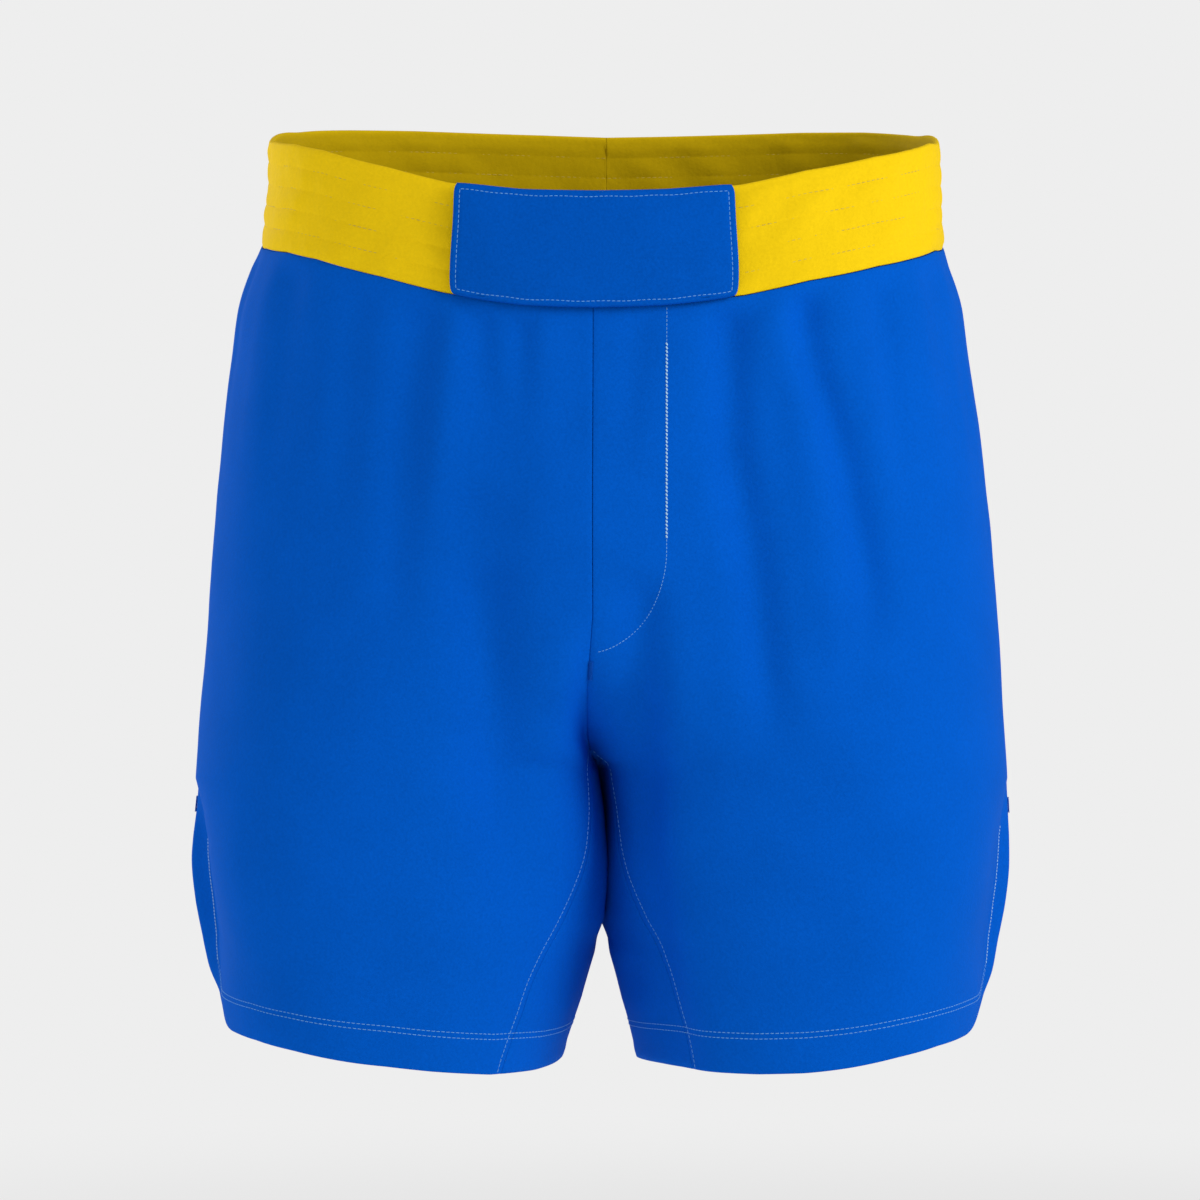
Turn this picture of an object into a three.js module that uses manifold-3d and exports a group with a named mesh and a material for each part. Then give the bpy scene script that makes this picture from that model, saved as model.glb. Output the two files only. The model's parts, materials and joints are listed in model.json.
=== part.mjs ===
// Boxing shorts with a stitched waistband, a closure flap, a fly that folds open and vented hems.
// Millimetres, +Z up. The front faces -Y and the wearer's left is +X.
// The origin is the centre of the waist opening.
//
// The garment is one smooth surface with a level, measured down from the waist, and an angle
// round each leg: 0 at the outside, -90 at the front, +90 at the back, 180 at the inner thigh.
// Every piece of cloth is a flat box bent onto that surface between two offsets from it.

import * as THREE from "three";
import { mergeVertices } from "three/addons/utils/BufferGeometryUtils.js";
import Module from "manifold-3d";

const wasm = await Module();
wasm.setup();

// ---- Overall sizes -------------------------------------------------------------------------

const WAIST_HALF_WIDTH = 169;
const WAIST_HALF_DEPTH = 110;
const YOKE_HALF_WIDTH = 181.5;
const YOKE_HALF_DEPTH = 114;
const HIP_HALF_WIDTH = 196.5;
const HIP_FRONT_DEPTH = 117;
const HIP_BACK_DEPTH = 123;
const THIGH_HALF_WIDTH = 203;
const THIGH_HALF_DEPTH = 112;
const HEM_HALF_WIDTH = 187;
const HEM_HALF_DEPTH = 104;

// Levels down from the waist, along the side of the body.
const BAND_HEIGHT = 52;
const YOKE_LEVEL = 85;
const HIP_LEVEL = 215;
const SPLIT_LEVEL = 200;
const GUSSET_LEVEL = 292;
const CROTCH_LEVEL = 300;
const THIGH_LEVEL = 342;
const VENT_LEVEL = 325;
const HEM_LEVEL = 445;

// The waist edge dips at the front and rises at the back, and the dip fades out down the body.
const WAIST_RISE_SIDE = 10;
const WAIST_RISE_BACK = 25;
const WAIST_TILT_FADE = [60, 240];
const SECTION_POWER = 2.3;
const LEG_SPREAD = 0.0011;
const CROTCH_STEEPNESS = 0.011;

// ---- Closure, fly, hems and vents ----------------------------------------------------------

const FLAP_HALF_WIDTH = 67;
const FLAP_RISE = 1;
const FLAP_DROP = 5;
const TAPE_WIDTH = 46;
const TAPE_HEIGHT = 38;
const TAPE_INSET = 7;
const FLY_WIDTH = 35;
const FLY_STRAIGHT_LEVEL = 190;
const FLY_BOTTOM_LEVEL = 243;
const FLY_CURVE_TURN = 84;
const FLY_TAPE_WIDTH = 16;
const FLY_TAPE_HEIGHT = 90;
const FLY_SHIELD_WIDTH = 44;
const FLY_FACING_INSET = 3;
const FLY_TOP_GAP = 2;
const FLY_TAPE_DROP = 6;
const FLY_SHIELD_BOTTOM_LEVEL = 210;
const FOLD_TOP_X = 94;
const FOLD_TOP_Z = -22;
const FOLD_FOOT_Z = -212;
const FOLD_MARGIN = 2;
const GUSSET_ANGLE = 51;
const HEM_SIDE_RISE = 10;
const HEM_FACING = 17;
const VENT_FACING = 8;
const VENT_SPREAD = 12;
const VENT_CORNER_ANGLE = 20;
const VENT_CORNER_HEIGHT = 36;

// ---- Cloth, tape and thread ----------------------------------------------------------------

const SEAM_GAP = 0.3;
const LAYER_GAP = 0.6;
const BODY_CLOTH = 1.0;
const FACING_CLOTH = 0.8;
const CASING_CLOTH = 1.0;
const ELASTIC = 1.6;
const FLAP_CLOTH = 0.9;
const HOOK_TAPE = 0.6;
const THREAD_WIDTH = 0.8;
const THREAD_HEIGHT = 0.6;
const THREAD_LIFT = 0.5;
const STITCH_ROWS = 4;
const STITCH_INSET = 3;
const NEEDLE_SPACING = 2.6;
const BARTACK_LENGTH = 9;
const BARTACK_WIDTH = 2.4;

const BLUE = new THREE.MeshStandardMaterial({ color: 0x0a52b8, roughness: 0.85, metalness: 0 });
const YELLOW = new THREE.MeshStandardMaterial({ color: 0xe2bd10, roughness: 0.8, metalness: 0 });
const THREAD = new THREE.MeshStandardMaterial({ color: 0x9cb8e6, roughness: 0.6, metalness: 0 });
const GOLD_THREAD = new THREE.MeshStandardMaterial({ color: 0xc9a50c, roughness: 0.6, metalness: 0 });
const RUBBER = new THREE.MeshStandardMaterial({ color: 0xdedbd0, roughness: 0.9, metalness: 0 });
const TAPE = new THREE.MeshStandardMaterial({ color: 0x0b3f92, roughness: 1.0, metalness: 0 });

const shorts = new THREE.Group();

// ---- The garment's surface -----------------------------------------------------------------

const lerp = THREE.MathUtils.lerp;
const smoothstep = THREE.MathUtils.smoothstep;
const RAD = Math.PI / 180;

// Level, half width, front depth and back depth of the body, from the waist to the hem.
const STATIONS = [
  [0, WAIST_HALF_WIDTH, WAIST_HALF_DEPTH, WAIST_HALF_DEPTH],
  [BAND_HEIGHT, WAIST_HALF_WIDTH + 2, WAIST_HALF_DEPTH + 1, WAIST_HALF_DEPTH + 2],
  [YOKE_LEVEL, YOKE_HALF_WIDTH, YOKE_HALF_DEPTH, YOKE_HALF_DEPTH + 3],
  [HIP_LEVEL, HIP_HALF_WIDTH, HIP_FRONT_DEPTH, HIP_BACK_DEPTH],
  [THIGH_LEVEL, THIGH_HALF_WIDTH, THIGH_HALF_DEPTH, THIGH_HALF_DEPTH],
  [HEM_LEVEL, HEM_HALF_WIDTH, HEM_HALF_DEPTH, HEM_HALF_DEPTH],
];

// The slope of one column of the stations at station i, below the waistband.
function stationSlope(i, column) {
  const before = STATIONS[Math.max(i - 1, 1)];
  const after = STATIONS[Math.min(i + 1, STATIONS.length - 1)];
  return (after[column] - before[column]) / (after[0] - before[0]);
}

// One column of the stations at a level: straight down the waistband, then a smooth curve.
function profile(level, column) {
  let i = 0;
  while (i < STATIONS.length - 2 && level > STATIONS[i + 1][0]) {
    i += 1;
  }
  const span = STATIONS[i + 1][0] - STATIONS[i][0];
  const t = (level - STATIONS[i][0]) / span;
  const rise = STATIONS[i + 1][column] - STATIONS[i][column];
  if (i === 0) {
    return STATIONS[0][column] + t * rise;
  }
  const startBend = stationSlope(i, column) * span - rise;
  const endBend = rise - stationSlope(i + 1, column) * span;
  return STATIONS[i][column] + t * rise + t * (1 - t) * ((1 - t) * startBend + t * endBend);
}

// How far each leg's centre lies from the middle, as a share of the leg's half width. It is 0
// where the body is one ring and 1 where the two legs part.
function legShare(level) {
  if (level >= CROTCH_LEVEL) {
    return 1 + LEG_SPREAD * (level - CROTCH_LEVEL);
  }
  const height = CROTCH_LEVEL - SPLIT_LEVEL;
  const t = Math.min((CROTCH_LEVEL - level) / height, 1);
  const slope = CROTCH_STEEPNESS * height;
  return (2 * t - 3) * t * t + 1 - (t - 2) * t * t * slope - t * slope;
}

// The angle from the inner thigh at which a leg's outline meets the middle of the body.
function meetingAngle(level) {
  const share = Math.max(legShare(level), 1e-6);
  return share >= 1 ? 0 : Math.atan((share ** -SECTION_POWER - 1) ** (1 / SECTION_POWER)) / RAD;
}

// The level at which a leg's outline meets the middle of the body at an angle.
function meetingLevel(angle) {
  let high = SPLIT_LEVEL;
  let low = CROTCH_LEVEL;
  for (let i = 0; i < 40; i += 1) {
    const middle = (high + low) / 2;
    if (meetingAngle(middle) > Math.abs(angle)) {
      high = middle;
    } else {
      low = middle;
    }
  }
  return (high + low) / 2;
}

// A point of the surface on one side of the body: side is 1 for the wearer's left, -1 for right.
function surfacePoint(side, level, angle) {
  const across = Math.cos(angle * RAD);
  const along = Math.sin(angle * RAD);
  const sum = Math.abs(across) ** SECTION_POWER + Math.abs(along) ** SECTION_POWER;
  const reach = sum ** (-1 / SECTION_POWER);
  const share = legShare(level);
  const halfWidth = profile(level, 1) / (1 + share);
  const depth = profile(level, along < 0 ? 2 : 3);
  const lean = reach * along;
  const tilt = 1 - smoothstep(level, WAIST_TILT_FADE[0], WAIST_TILT_FADE[1]);
  const rise = WAIST_RISE_SIDE + WAIST_RISE_BACK * lean - WAIST_RISE_SIDE * lean * lean;
  const x = side * halfWidth * (share + reach * across);
  return new THREE.Vector3(x, depth * lean, tilt * rise - level);
}

// The surface's point and outward normal.
function surface(side, level, angle) {
  const step = 0.05;
  const point = surfacePoint(side, level, angle);
  const down = surfacePoint(side, level + step, angle).sub(surfacePoint(side, level - step, angle));
  const round = surfacePoint(side, level, angle + step).sub(surfacePoint(side, level, angle - step));
  const normal = round.cross(down).normalize().multiplyScalar(-side);
  return { point, normal };
}

// The angle at which the front of the surface is x from the middle, on the side it is given for.
function frontAngle(level, x) {
  const share = legShare(level);
  const halfWidth = profile(level, 1) / (1 + share);
  const across = x / halfWidth - share;
  const angle = Math.atan((Math.max(Math.abs(across), 1e-6) ** -SECTION_POWER - 1) ** (1 / SECTION_POWER));
  return across > 0 ? -angle / RAD : angle / RAD - 180;
}

// ---- Cloth, made by bending a flat box -----------------------------------------------------

// Bends a box onto the surface. place(a, b) gives the surface at two shares of the box, the
// lists hold the shares at its grid lines, and outer and inner are the offsets of its two faces.
function bentSheet(aLines, bLines, place, outer, inner) {
  const columns = aLines.length - 1;
  const rows = bLines.length - 1;
  const box = new THREE.BoxGeometry(columns, rows, 1, columns, rows, 1);
  const positions = box.getAttribute("position");
  for (let i = 0; i < positions.count; i += 1) {
    const a = aLines[Math.round(positions.getX(i) + columns / 2)];
    const b = bLines[Math.round(positions.getY(i) + rows / 2)];
    const { point, normal } = place(a, b);
    point.addScaledVector(normal, positions.getZ(i) > 0 ? outer : inner);
    positions.setXYZ(i, point.x, point.y, point.z);
  }
  matchDiagonals(box);
  return outwards(box);
}

// Turns the diagonals of a box's back face so that they lie under those of its front face, which
// keeps layers of cloth parallel where the surface twists.
function matchDiagonals(box) {
  const back = box.groups[5];
  const index = box.index.array;
  for (let i = back.start; i < back.start + back.count; i += 6) {
    const [first, second, , , third, fourth] = index.slice(i, i + 6);
    index.set([first, second, third, first, third, fourth], i);
  }
}

// Lays a square thread along a route of surface points, lift above the surface.
function bentThread(route, width, lift, height) {
  const steps = route.length - 1;
  const box = new THREE.BoxGeometry(1, 1, steps, 1, 1, steps);
  const positions = box.getAttribute("position");
  for (let i = 0; i < positions.count; i += 1) {
    const index = Math.round(positions.getZ(i) + steps / 2);
    const { point, normal } = route[index];
    const before = route[Math.max(index - 1, 0)].point;
    const after = route[Math.min(index + 1, steps)].point;
    const aside = after.clone().sub(before).cross(normal).normalize();
    const corner = point.clone().addScaledVector(aside, Math.sign(positions.getX(i)) * width / 2);
    corner.addScaledVector(normal, positions.getY(i) > 0 ? lift + height : lift);
    positions.setXYZ(i, corner.x, corner.y, corner.z);
  }
  return outwards(box);
}

// The geometry with shared vertices merged and its faces turned to point out.
function outwards(geometry) {
  geometry.deleteAttribute("normal");
  geometry.deleteAttribute("uv");
  const merged = mergeVertices(geometry, 1e-4);
  const corners = [new THREE.Vector3(), new THREE.Vector3(), new THREE.Vector3()];
  const index = merged.index.array;
  let volume = 0;
  for (let i = 0; i < index.length; i += 3) {
    corners.forEach((corner, k) => corner.fromBufferAttribute(merged.attributes.position, index[i + k]));
    volume += corners[0].dot(corners[1].clone().cross(corners[2]));
  }
  if (volume < 0) {
    for (let i = 0; i < index.length; i += 3) {
      [index[i + 1], index[i + 2]] = [index[i + 2], index[i + 1]];
    }
  }
  return merged;
}

function toSolid(geometry) {
  const mesh = new wasm.Mesh({
    numProp: 3,
    vertProperties: new Float32Array(geometry.attributes.position.array),
    triVerts: new Uint32Array(geometry.index.array),
  });
  return new wasm.Manifold(mesh);
}

function toGeometry(solid) {
  const mesh = solid.getMesh();
  const geometry = new THREE.BufferGeometry();
  geometry.setAttribute("position", new THREE.BufferAttribute(mesh.vertProperties, 3));
  geometry.setIndex(new THREE.BufferAttribute(mesh.triVerts, 1));
  return geometry;
}

function addPiece(name, geometry, material) {
  geometry.computeVertexNormals();
  const piece = new THREE.Mesh(geometry, material);
  piece.name = name;
  shorts.add(piece);
}

// Evenly spaced shares from 0 to 1.
function even(count) {
  return Array.from({ length: count + 1 }, (_, i) => i / count);
}

// ---- The fold of the fly -------------------------------------------------------------------

// The wearer's left front folds open along a slanted line that runs from the foot of the fly's
// stitching to the waist edge. The front opening itself stops a little above that foot. This wedge
// holds everything that folds, and margin moves its slanted side and its foot.
function foldWedge(margin) {
  const lineFootZ = -(FLY_BOTTOM_LEVEL + FOLD_MARGIN);
  const run = FOLD_TOP_X / (FOLD_TOP_Z - lineFootZ);
  const shift = margin * Math.hypot(1, run);
  const lineX = (z) => shift + run * (z - lineFootZ);
  const footZ = FOLD_FOOT_Z - margin;
  const topZ = 2 * WAIST_RISE_BACK;
  const outline = new THREE.Shape();
  outline.moveTo(-SEAM_GAP / 4, footZ);
  outline.lineTo(lineX(footZ), footZ);
  outline.lineTo(lineX(topZ), topZ);
  outline.lineTo(-SEAM_GAP / 4, topZ);
  const wedge = new THREE.ExtrudeGeometry(outline, { depth: WAIST_HALF_DEPTH, bevelEnabled: false });
  wedge.rotateX(Math.PI / 2);
  wedge.translate(0, -WAIST_HALF_DEPTH / 3, 0);
  return toSolid(outwards(wedge));
}

const FOLDING_SIDE = foldWedge(-SEAM_GAP / 2);
const STAYING_SIDE = foldWedge(SEAM_GAP / 2);

// Cuts a piece at the fold line into the part that stays and the part that folds.
function addFoldedPiece(stayingName, foldingName, geometry, material) {
  const solid = toSolid(geometry);
  addPiece(stayingName, toGeometry(solid.subtract(STAYING_SIDE)), material);
  addPiece(foldingName, toGeometry(solid.intersect(FOLDING_SIDE)), material);
}

// ---- Outlines of the cloth pieces ----------------------------------------------------------

// The gusset seam's angle from the inner thigh, widening from the crotch to the hem.
function gussetAngle(level) {
  const t = Math.max((level - GUSSET_LEVEL) / (HEM_LEVEL - GUSSET_LEVEL), 0);
  return lerp(meetingAngle(GUSSET_LEVEL), GUSSET_ANGLE, t ** 1.3);
}

// The hem's level, a little higher at the outside of the leg.
function hemLevel(angle) {
  return HEM_LEVEL - HEM_SIDE_RISE * Math.max(Math.cos(angle * RAD), 0) ** 2;
}

// The vent's edge, before its corner is rounded, as an angle from the outside of the leg.
function ventAngle(level) {
  const t = Math.max((level - VENT_LEVEL) / (HEM_LEVEL - VENT_LEVEL), 0);
  return VENT_SPREAD * t ** 1.3;
}

const CORNER_SHARE = 1 - Math.SQRT1_2;
const HEM_CORNER_LEVEL = HEM_LEVEL - HEM_SIDE_RISE - VENT_CORNER_HEIGHT * CORNER_SHARE;
const HEM_CORNER_ANGLE = ventAngle(HEM_CORNER_LEVEL) + VENT_CORNER_ANGLE * CORNER_SHARE;
// The body's cloth leans at the waistband seam by up to its own thickness, and stays clear of it.
const TOP_LEVEL = BAND_HEIGHT + SEAM_GAP + BODY_CLOTH;
const SEAM_ANGLE = 0.12;

// The four edges of a leg panel, as a level and an angle from the outside towards the seam in the
// middle of the body. The front and the back panel share them.
function panelTop(u) {
  return [TOP_LEVEL, lerp(90 - SEAM_ANGLE, SEAM_ANGLE, u)];
}

function panelInner(v) {
  const level = lerp(TOP_LEVEL, HEM_LEVEL, v);
  const inner = level < GUSSET_LEVEL ? meetingAngle(level) : gussetAngle(level);
  return [level, 180 - inner - SEAM_ANGLE];
}

function panelOuter(v) {
  const level = lerp(TOP_LEVEL, HEM_CORNER_LEVEL, v);
  const arcLevel = HEM_LEVEL - HEM_SIDE_RISE - VENT_CORNER_HEIGHT;
  const t = Math.max((level - arcLevel) / VENT_CORNER_HEIGHT, 0);
  return [level, SEAM_ANGLE + ventAngle(level) + VENT_CORNER_ANGLE * (1 - Math.sqrt(1 - t * t))];
}

function panelHem(u) {
  const angle = lerp(180 - GUSSET_ANGLE - SEAM_ANGLE, HEM_CORNER_ANGLE + SEAM_ANGLE, u);
  const arcAngle = ventAngle(HEM_CORNER_LEVEL) + VENT_CORNER_ANGLE;
  const t = Math.max((arcAngle - angle) / VENT_CORNER_ANGLE, 0);
  return [hemLevel(angle) - VENT_CORNER_HEIGHT * (1 - Math.sqrt(1 - t * t)), angle];
}

// A place in a leg panel, u from the middle of the body to the side, v from waist to hem.
function panelPlace(u, v) {
  const [topLeft, topRight] = [panelTop(0), panelTop(1)];
  const [bottomLeft, bottomRight] = [panelHem(0), panelHem(1)];
  return [0, 1].map((k) => {
    const acrossEdges = lerp(panelInner(v)[k], panelOuter(v)[k], u);
    const downEdges = lerp(panelTop(u)[k], panelHem(u)[k], v);
    const corners = lerp(lerp(topLeft[k], topRight[k], u), lerp(bottomLeft[k], bottomRight[k], u), v);
    return acrossEdges + downEdges - corners;
  });
}

// facing is -1 for a front panel and 1 for a back panel.
function onPanel(side, facing) {
  return (u, v) => {
    const [level, angle] = panelPlace(u, v);
    return surface(side, level, facing * angle);
  };
}

// A place in the gusset. t runs from the crotch (0) to a hem (1 left, -1 right), s from the front
// seam (-1) to the back seam (1).
function onGusset(s, t) {
  const side = t < 0 ? -1 : 1;
  const top = meetingLevel(s * meetingAngle(GUSSET_LEVEL));
  const seamLevel = lerp(GUSSET_LEVEL, HEM_LEVEL, Math.abs(t));
  const angle = s * (gussetAngle(seamLevel) - SEAM_ANGLE);
  const level = lerp(top, HEM_LEVEL, Math.abs(t));
  const place = surface(side, level, s < 0 ? -180 - angle : 180 - angle);
  if (t === 0) {
    place.point.x = 0;
    place.normal.x = 0;
    place.normal.normalize();
  }
  return place;
}

// A place on the waistband, a from the opening at the front round the back to the other end.
function onBand(a, level) {
  const end = frontAngle(level, SEAM_GAP / 2);
  return surface(1, level, lerp(end, 180 - end, a));
}

// A place at the front, at x from the middle and a level.
function onFront(x, level) {
  return x < 0 ? surface(-1, level, frontAngle(level, -x)) : surface(1, level, frontAngle(level, x));
}

// The width of the fly at a level: straight, then curving in to the foot of the fly.
function flyWidth(level) {
  const t = (level - FLY_STRAIGHT_LEVEL) / (FLY_BOTTOM_LEVEL - FLY_STRAIGHT_LEVEL);
  return FLY_WIDTH * Math.sqrt(1 - THREE.MathUtils.clamp(t, 0, 0.995) ** 2);
}

// ---- Grid lines ----------------------------------------------------------------------------

const PANEL_HEIGHT = HEM_LEVEL - TOP_LEVEL;
const GUSSET_LINE = (GUSSET_LEVEL - TOP_LEVEL) / PANEL_HEIGHT;
const VENT_LINE = (VENT_LEVEL - TOP_LEVEL) / (HEM_CORNER_LEVEL - TOP_LEVEL);
const HEM_LINE = 1 - HEM_FACING / PANEL_HEIGHT;
const VENT_FACING_LINE = 1 - VENT_FACING / 200;

// Lines from one share to another, in equal steps.
function stretch(from, to, count) {
  return even(count).map((t) => lerp(from, to, t));
}

const SPLIT_LINE = (SPLIT_LEVEL - TOP_LEVEL) / PANEL_HEIGHT;
const PANEL_ROWS = [
  ...stretch(0, SPLIT_LINE, 4).slice(0, -1),
  ...stretch(SPLIT_LINE, GUSSET_LINE, 5).slice(0, -1),
  ...stretch(GUSSET_LINE, VENT_LINE, 2).slice(0, -1),
  ...stretch(VENT_LINE, HEM_LINE, 4),
  1,
];
const GUSSET_STITCH_LINE = STITCH_INSET / 200;
const PANEL_COLUMNS = [0, ...stretch(GUSSET_STITCH_LINE, VENT_FACING_LINE, 11), 1];
const VENT_ROWS = PANEL_ROWS.filter((v) => v >= VENT_LINE - 1e-9 && v <= HEM_LINE + 1e-9);
const GUSSET_ROWS = PANEL_ROWS.filter((v) => v >= GUSSET_LINE - 1e-9).map(
  (v) => (v - GUSSET_LINE) / (1 - GUSSET_LINE),
);

// ---- The pieces ----------------------------------------------------------------------------

const SIDES = [["left", 1], ["right", -1]];
const FACINGS = [["front", -1], ["back", 1]];
const FACING_OUTER = -BODY_CLOTH - LAYER_GAP;
const FACING_INNER = FACING_OUTER - FACING_CLOTH;

// Front and back panels of each leg, from the waistband to the hem.
function addLegPanels() {
  for (const [sideName, side] of SIDES) {
    for (const [facingName, facing] of FACINGS) {
      const place = onPanel(side, facing);
      const panel = bentSheet(PANEL_COLUMNS, PANEL_ROWS, place, 0, -BODY_CLOTH);
      if (facing < 0 && side > 0) {
        addFoldedPiece("front_panel_left", "fly_lapel_panel", panel, BLUE);
      } else {
        addPiece(`${facingName}_panel_${sideName}`, panel, BLUE);
      }
    }
  }
}

// The gusset runs from hem to hem over the crotch, between the front and the back panels.
function addGusset() {
  const rows = [...GUSSET_ROWS.slice(1).map((t) => -t).reverse(), ...GUSSET_ROWS];
  const columns = stretch(-1, 1, 8);
  addPiece("inner_thigh_gusset", bentSheet(columns, rows, onGusset, 0, -BODY_CLOTH), BLUE);
}

// The turned-up hem inside each panel, and the turned-in edge of each vent.
function addHemFacings() {
  for (const [sideName, side] of SIDES) {
    for (const [facingName, facing] of FACINGS) {
      const place = onPanel(side, facing);
      const hem = bentSheet(PANEL_COLUMNS, [HEM_LINE, 1], place, FACING_OUTER, FACING_INNER);
      addPiece(`hem_facing_${facingName}_${sideName}`, hem, BLUE);
      const ventRows = [...VENT_ROWS.slice(0, -1), HEM_LINE - SEAM_GAP / PANEL_HEIGHT];
      const vent = bentSheet([VENT_FACING_LINE, 1], ventRows, place, FACING_OUTER, FACING_INNER);
      addPiece(`vent_facing_${facingName}_${sideName}`, vent, BLUE);
    }
    const hemRows = GUSSET_ROWS.slice(-2).map((t) => side * t).sort((a, b) => a - b);
    const turnUp = bentSheet(stretch(-1, 1, 8), hemRows, onGusset, FACING_OUTER, FACING_INNER);
    addPiece(`hem_facing_gusset_${sideName}`, turnUp, BLUE);
  }
}

// The waistband: an outer casing, the wide elastic inside it and an inner casing. Each is one
// length from the front opening round the back, and its left end folds with the fly.
function addWaistband() {
  const layers = [
    ["waistband_outer", "waistband_end_outer", CASING_CLOTH, YELLOW],
    ["waistband_elastic", "waistband_end_elastic", ELASTIC, RUBBER],
    ["waistband_inner", "waistband_end_inner", CASING_CLOTH, YELLOW],
  ];
  let outer = 0;
  for (const [ringName, endName, thickness, material] of layers) {
    const ring = bentSheet(even(44), stretch(0, BAND_HEIGHT, 2), onBand, outer, outer - thickness);
    addFoldedPiece(ringName, endName, ring, material);
    outer -= thickness + SEAM_GAP;
  }
}

// Rows of stitching that part the waistband into channels.
function addWaistbandStitching() {
  for (let row = 1; row <= STITCH_ROWS; row += 1) {
    const level = (BAND_HEIGHT * row) / (STITCH_ROWS + 1);
    const route = even(44).map((a) => onBand(a, level));
    const thread = bentThread(route, THREAD_WIDTH, SEAM_GAP, THREAD_HEIGHT);
    addFoldedPiece(`waistband_stitch_${row}`, `waistband_end_stitch_${row}`, thread, GOLD_THREAD);
  }
}

// Heights of the flap's layers above the waistband, from the loop tape on the band outwards.
const LOOP_TAPE_HEIGHT = SEAM_GAP + THREAD_HEIGHT + SEAM_GAP;
const HOOK_TAPE_HEIGHT = LOOP_TAPE_HEIGHT + HOOK_TAPE + SEAM_GAP;
const FLAP_LINING_HEIGHT = HOOK_TAPE_HEIGHT + HOOK_TAPE + SEAM_GAP;
const FLAP_SHELL_HEIGHT = FLAP_LINING_HEIGHT + FLAP_CLOTH + SEAM_GAP;
const FLAP_STITCH_HEIGHT = FLAP_SHELL_HEIGHT + FLAP_CLOTH + SEAM_GAP;
const FLAP_STITCH_X = FLAP_HALF_WIDTH - STITCH_INSET;
const FLAP_STITCH_COLUMNS = stretch(-FLAP_STITCH_X, FLAP_STITCH_X, 10);
const FLAP_STITCH_ROWS = stretch(STITCH_INSET - FLAP_RISE, BAND_HEIGHT + FLAP_DROP - STITCH_INSET, 3);
const FLAP_COLUMNS = [-FLAP_HALF_WIDTH, ...FLAP_STITCH_COLUMNS, FLAP_HALF_WIDTH];
const FLAP_ROWS = [-FLAP_RISE, ...FLAP_STITCH_ROWS, BAND_HEIGHT + FLAP_DROP];

// The flap closes over the waistband, is sewn to its left end and is held by hook and loop tape.
function addClosureFlap() {
  const sheet = (height, cloth) => bentSheet(FLAP_COLUMNS, FLAP_ROWS, onFront, height + cloth, height);
  addPiece("closure_flap_shell", sheet(FLAP_SHELL_HEIGHT, FLAP_CLOTH), BLUE);
  addPiece("closure_flap_lining", sheet(FLAP_LINING_HEIGHT, FLAP_CLOTH), BLUE);
  addPiece("closure_flap_stitch", flapThread(), THREAD);
  const tapeColumns = stretch(TAPE_INSET - FLAP_HALF_WIDTH, TAPE_INSET - FLAP_HALF_WIDTH + TAPE_WIDTH, 4);
  const tapeRows = stretch((BAND_HEIGHT - TAPE_HEIGHT) / 2, (BAND_HEIGHT + TAPE_HEIGHT) / 2, 3);
  const tape = (height) => bentSheet(tapeColumns, tapeRows, onFront, height + HOOK_TAPE, height);
  addPiece("flap_hook_tape", tape(HOOK_TAPE_HEIGHT), TAPE);
  addPiece("waist_loop_tape", tape(LOOP_TAPE_HEIGHT), TAPE);
}

// The topstitching round the flap, one thread whose ends stop short of each other.
function flapThread() {
  const top = FLAP_STITCH_ROWS[0];
  const bottom = FLAP_STITCH_ROWS[FLAP_STITCH_ROWS.length - 1];
  const across = FLAP_STITCH_COLUMNS.slice(1);
  const route = [
    onFront(-FLAP_STITCH_X + THREAD_WIDTH, top),
    ...across.map((x) => onFront(x, top)),
    ...FLAP_STITCH_ROWS.slice(1).map((level) => onFront(FLAP_STITCH_X, level)),
    ...across.map((x) => onFront(-x, bottom)),
    ...FLAP_STITCH_ROWS.slice(0, -1).reverse().map((level) => onFront(-FLAP_STITCH_X, level)),
  ];
  return bentThread(route, THREAD_WIDTH, FLAP_STITCH_HEIGHT, THREAD_HEIGHT);
}

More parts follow.
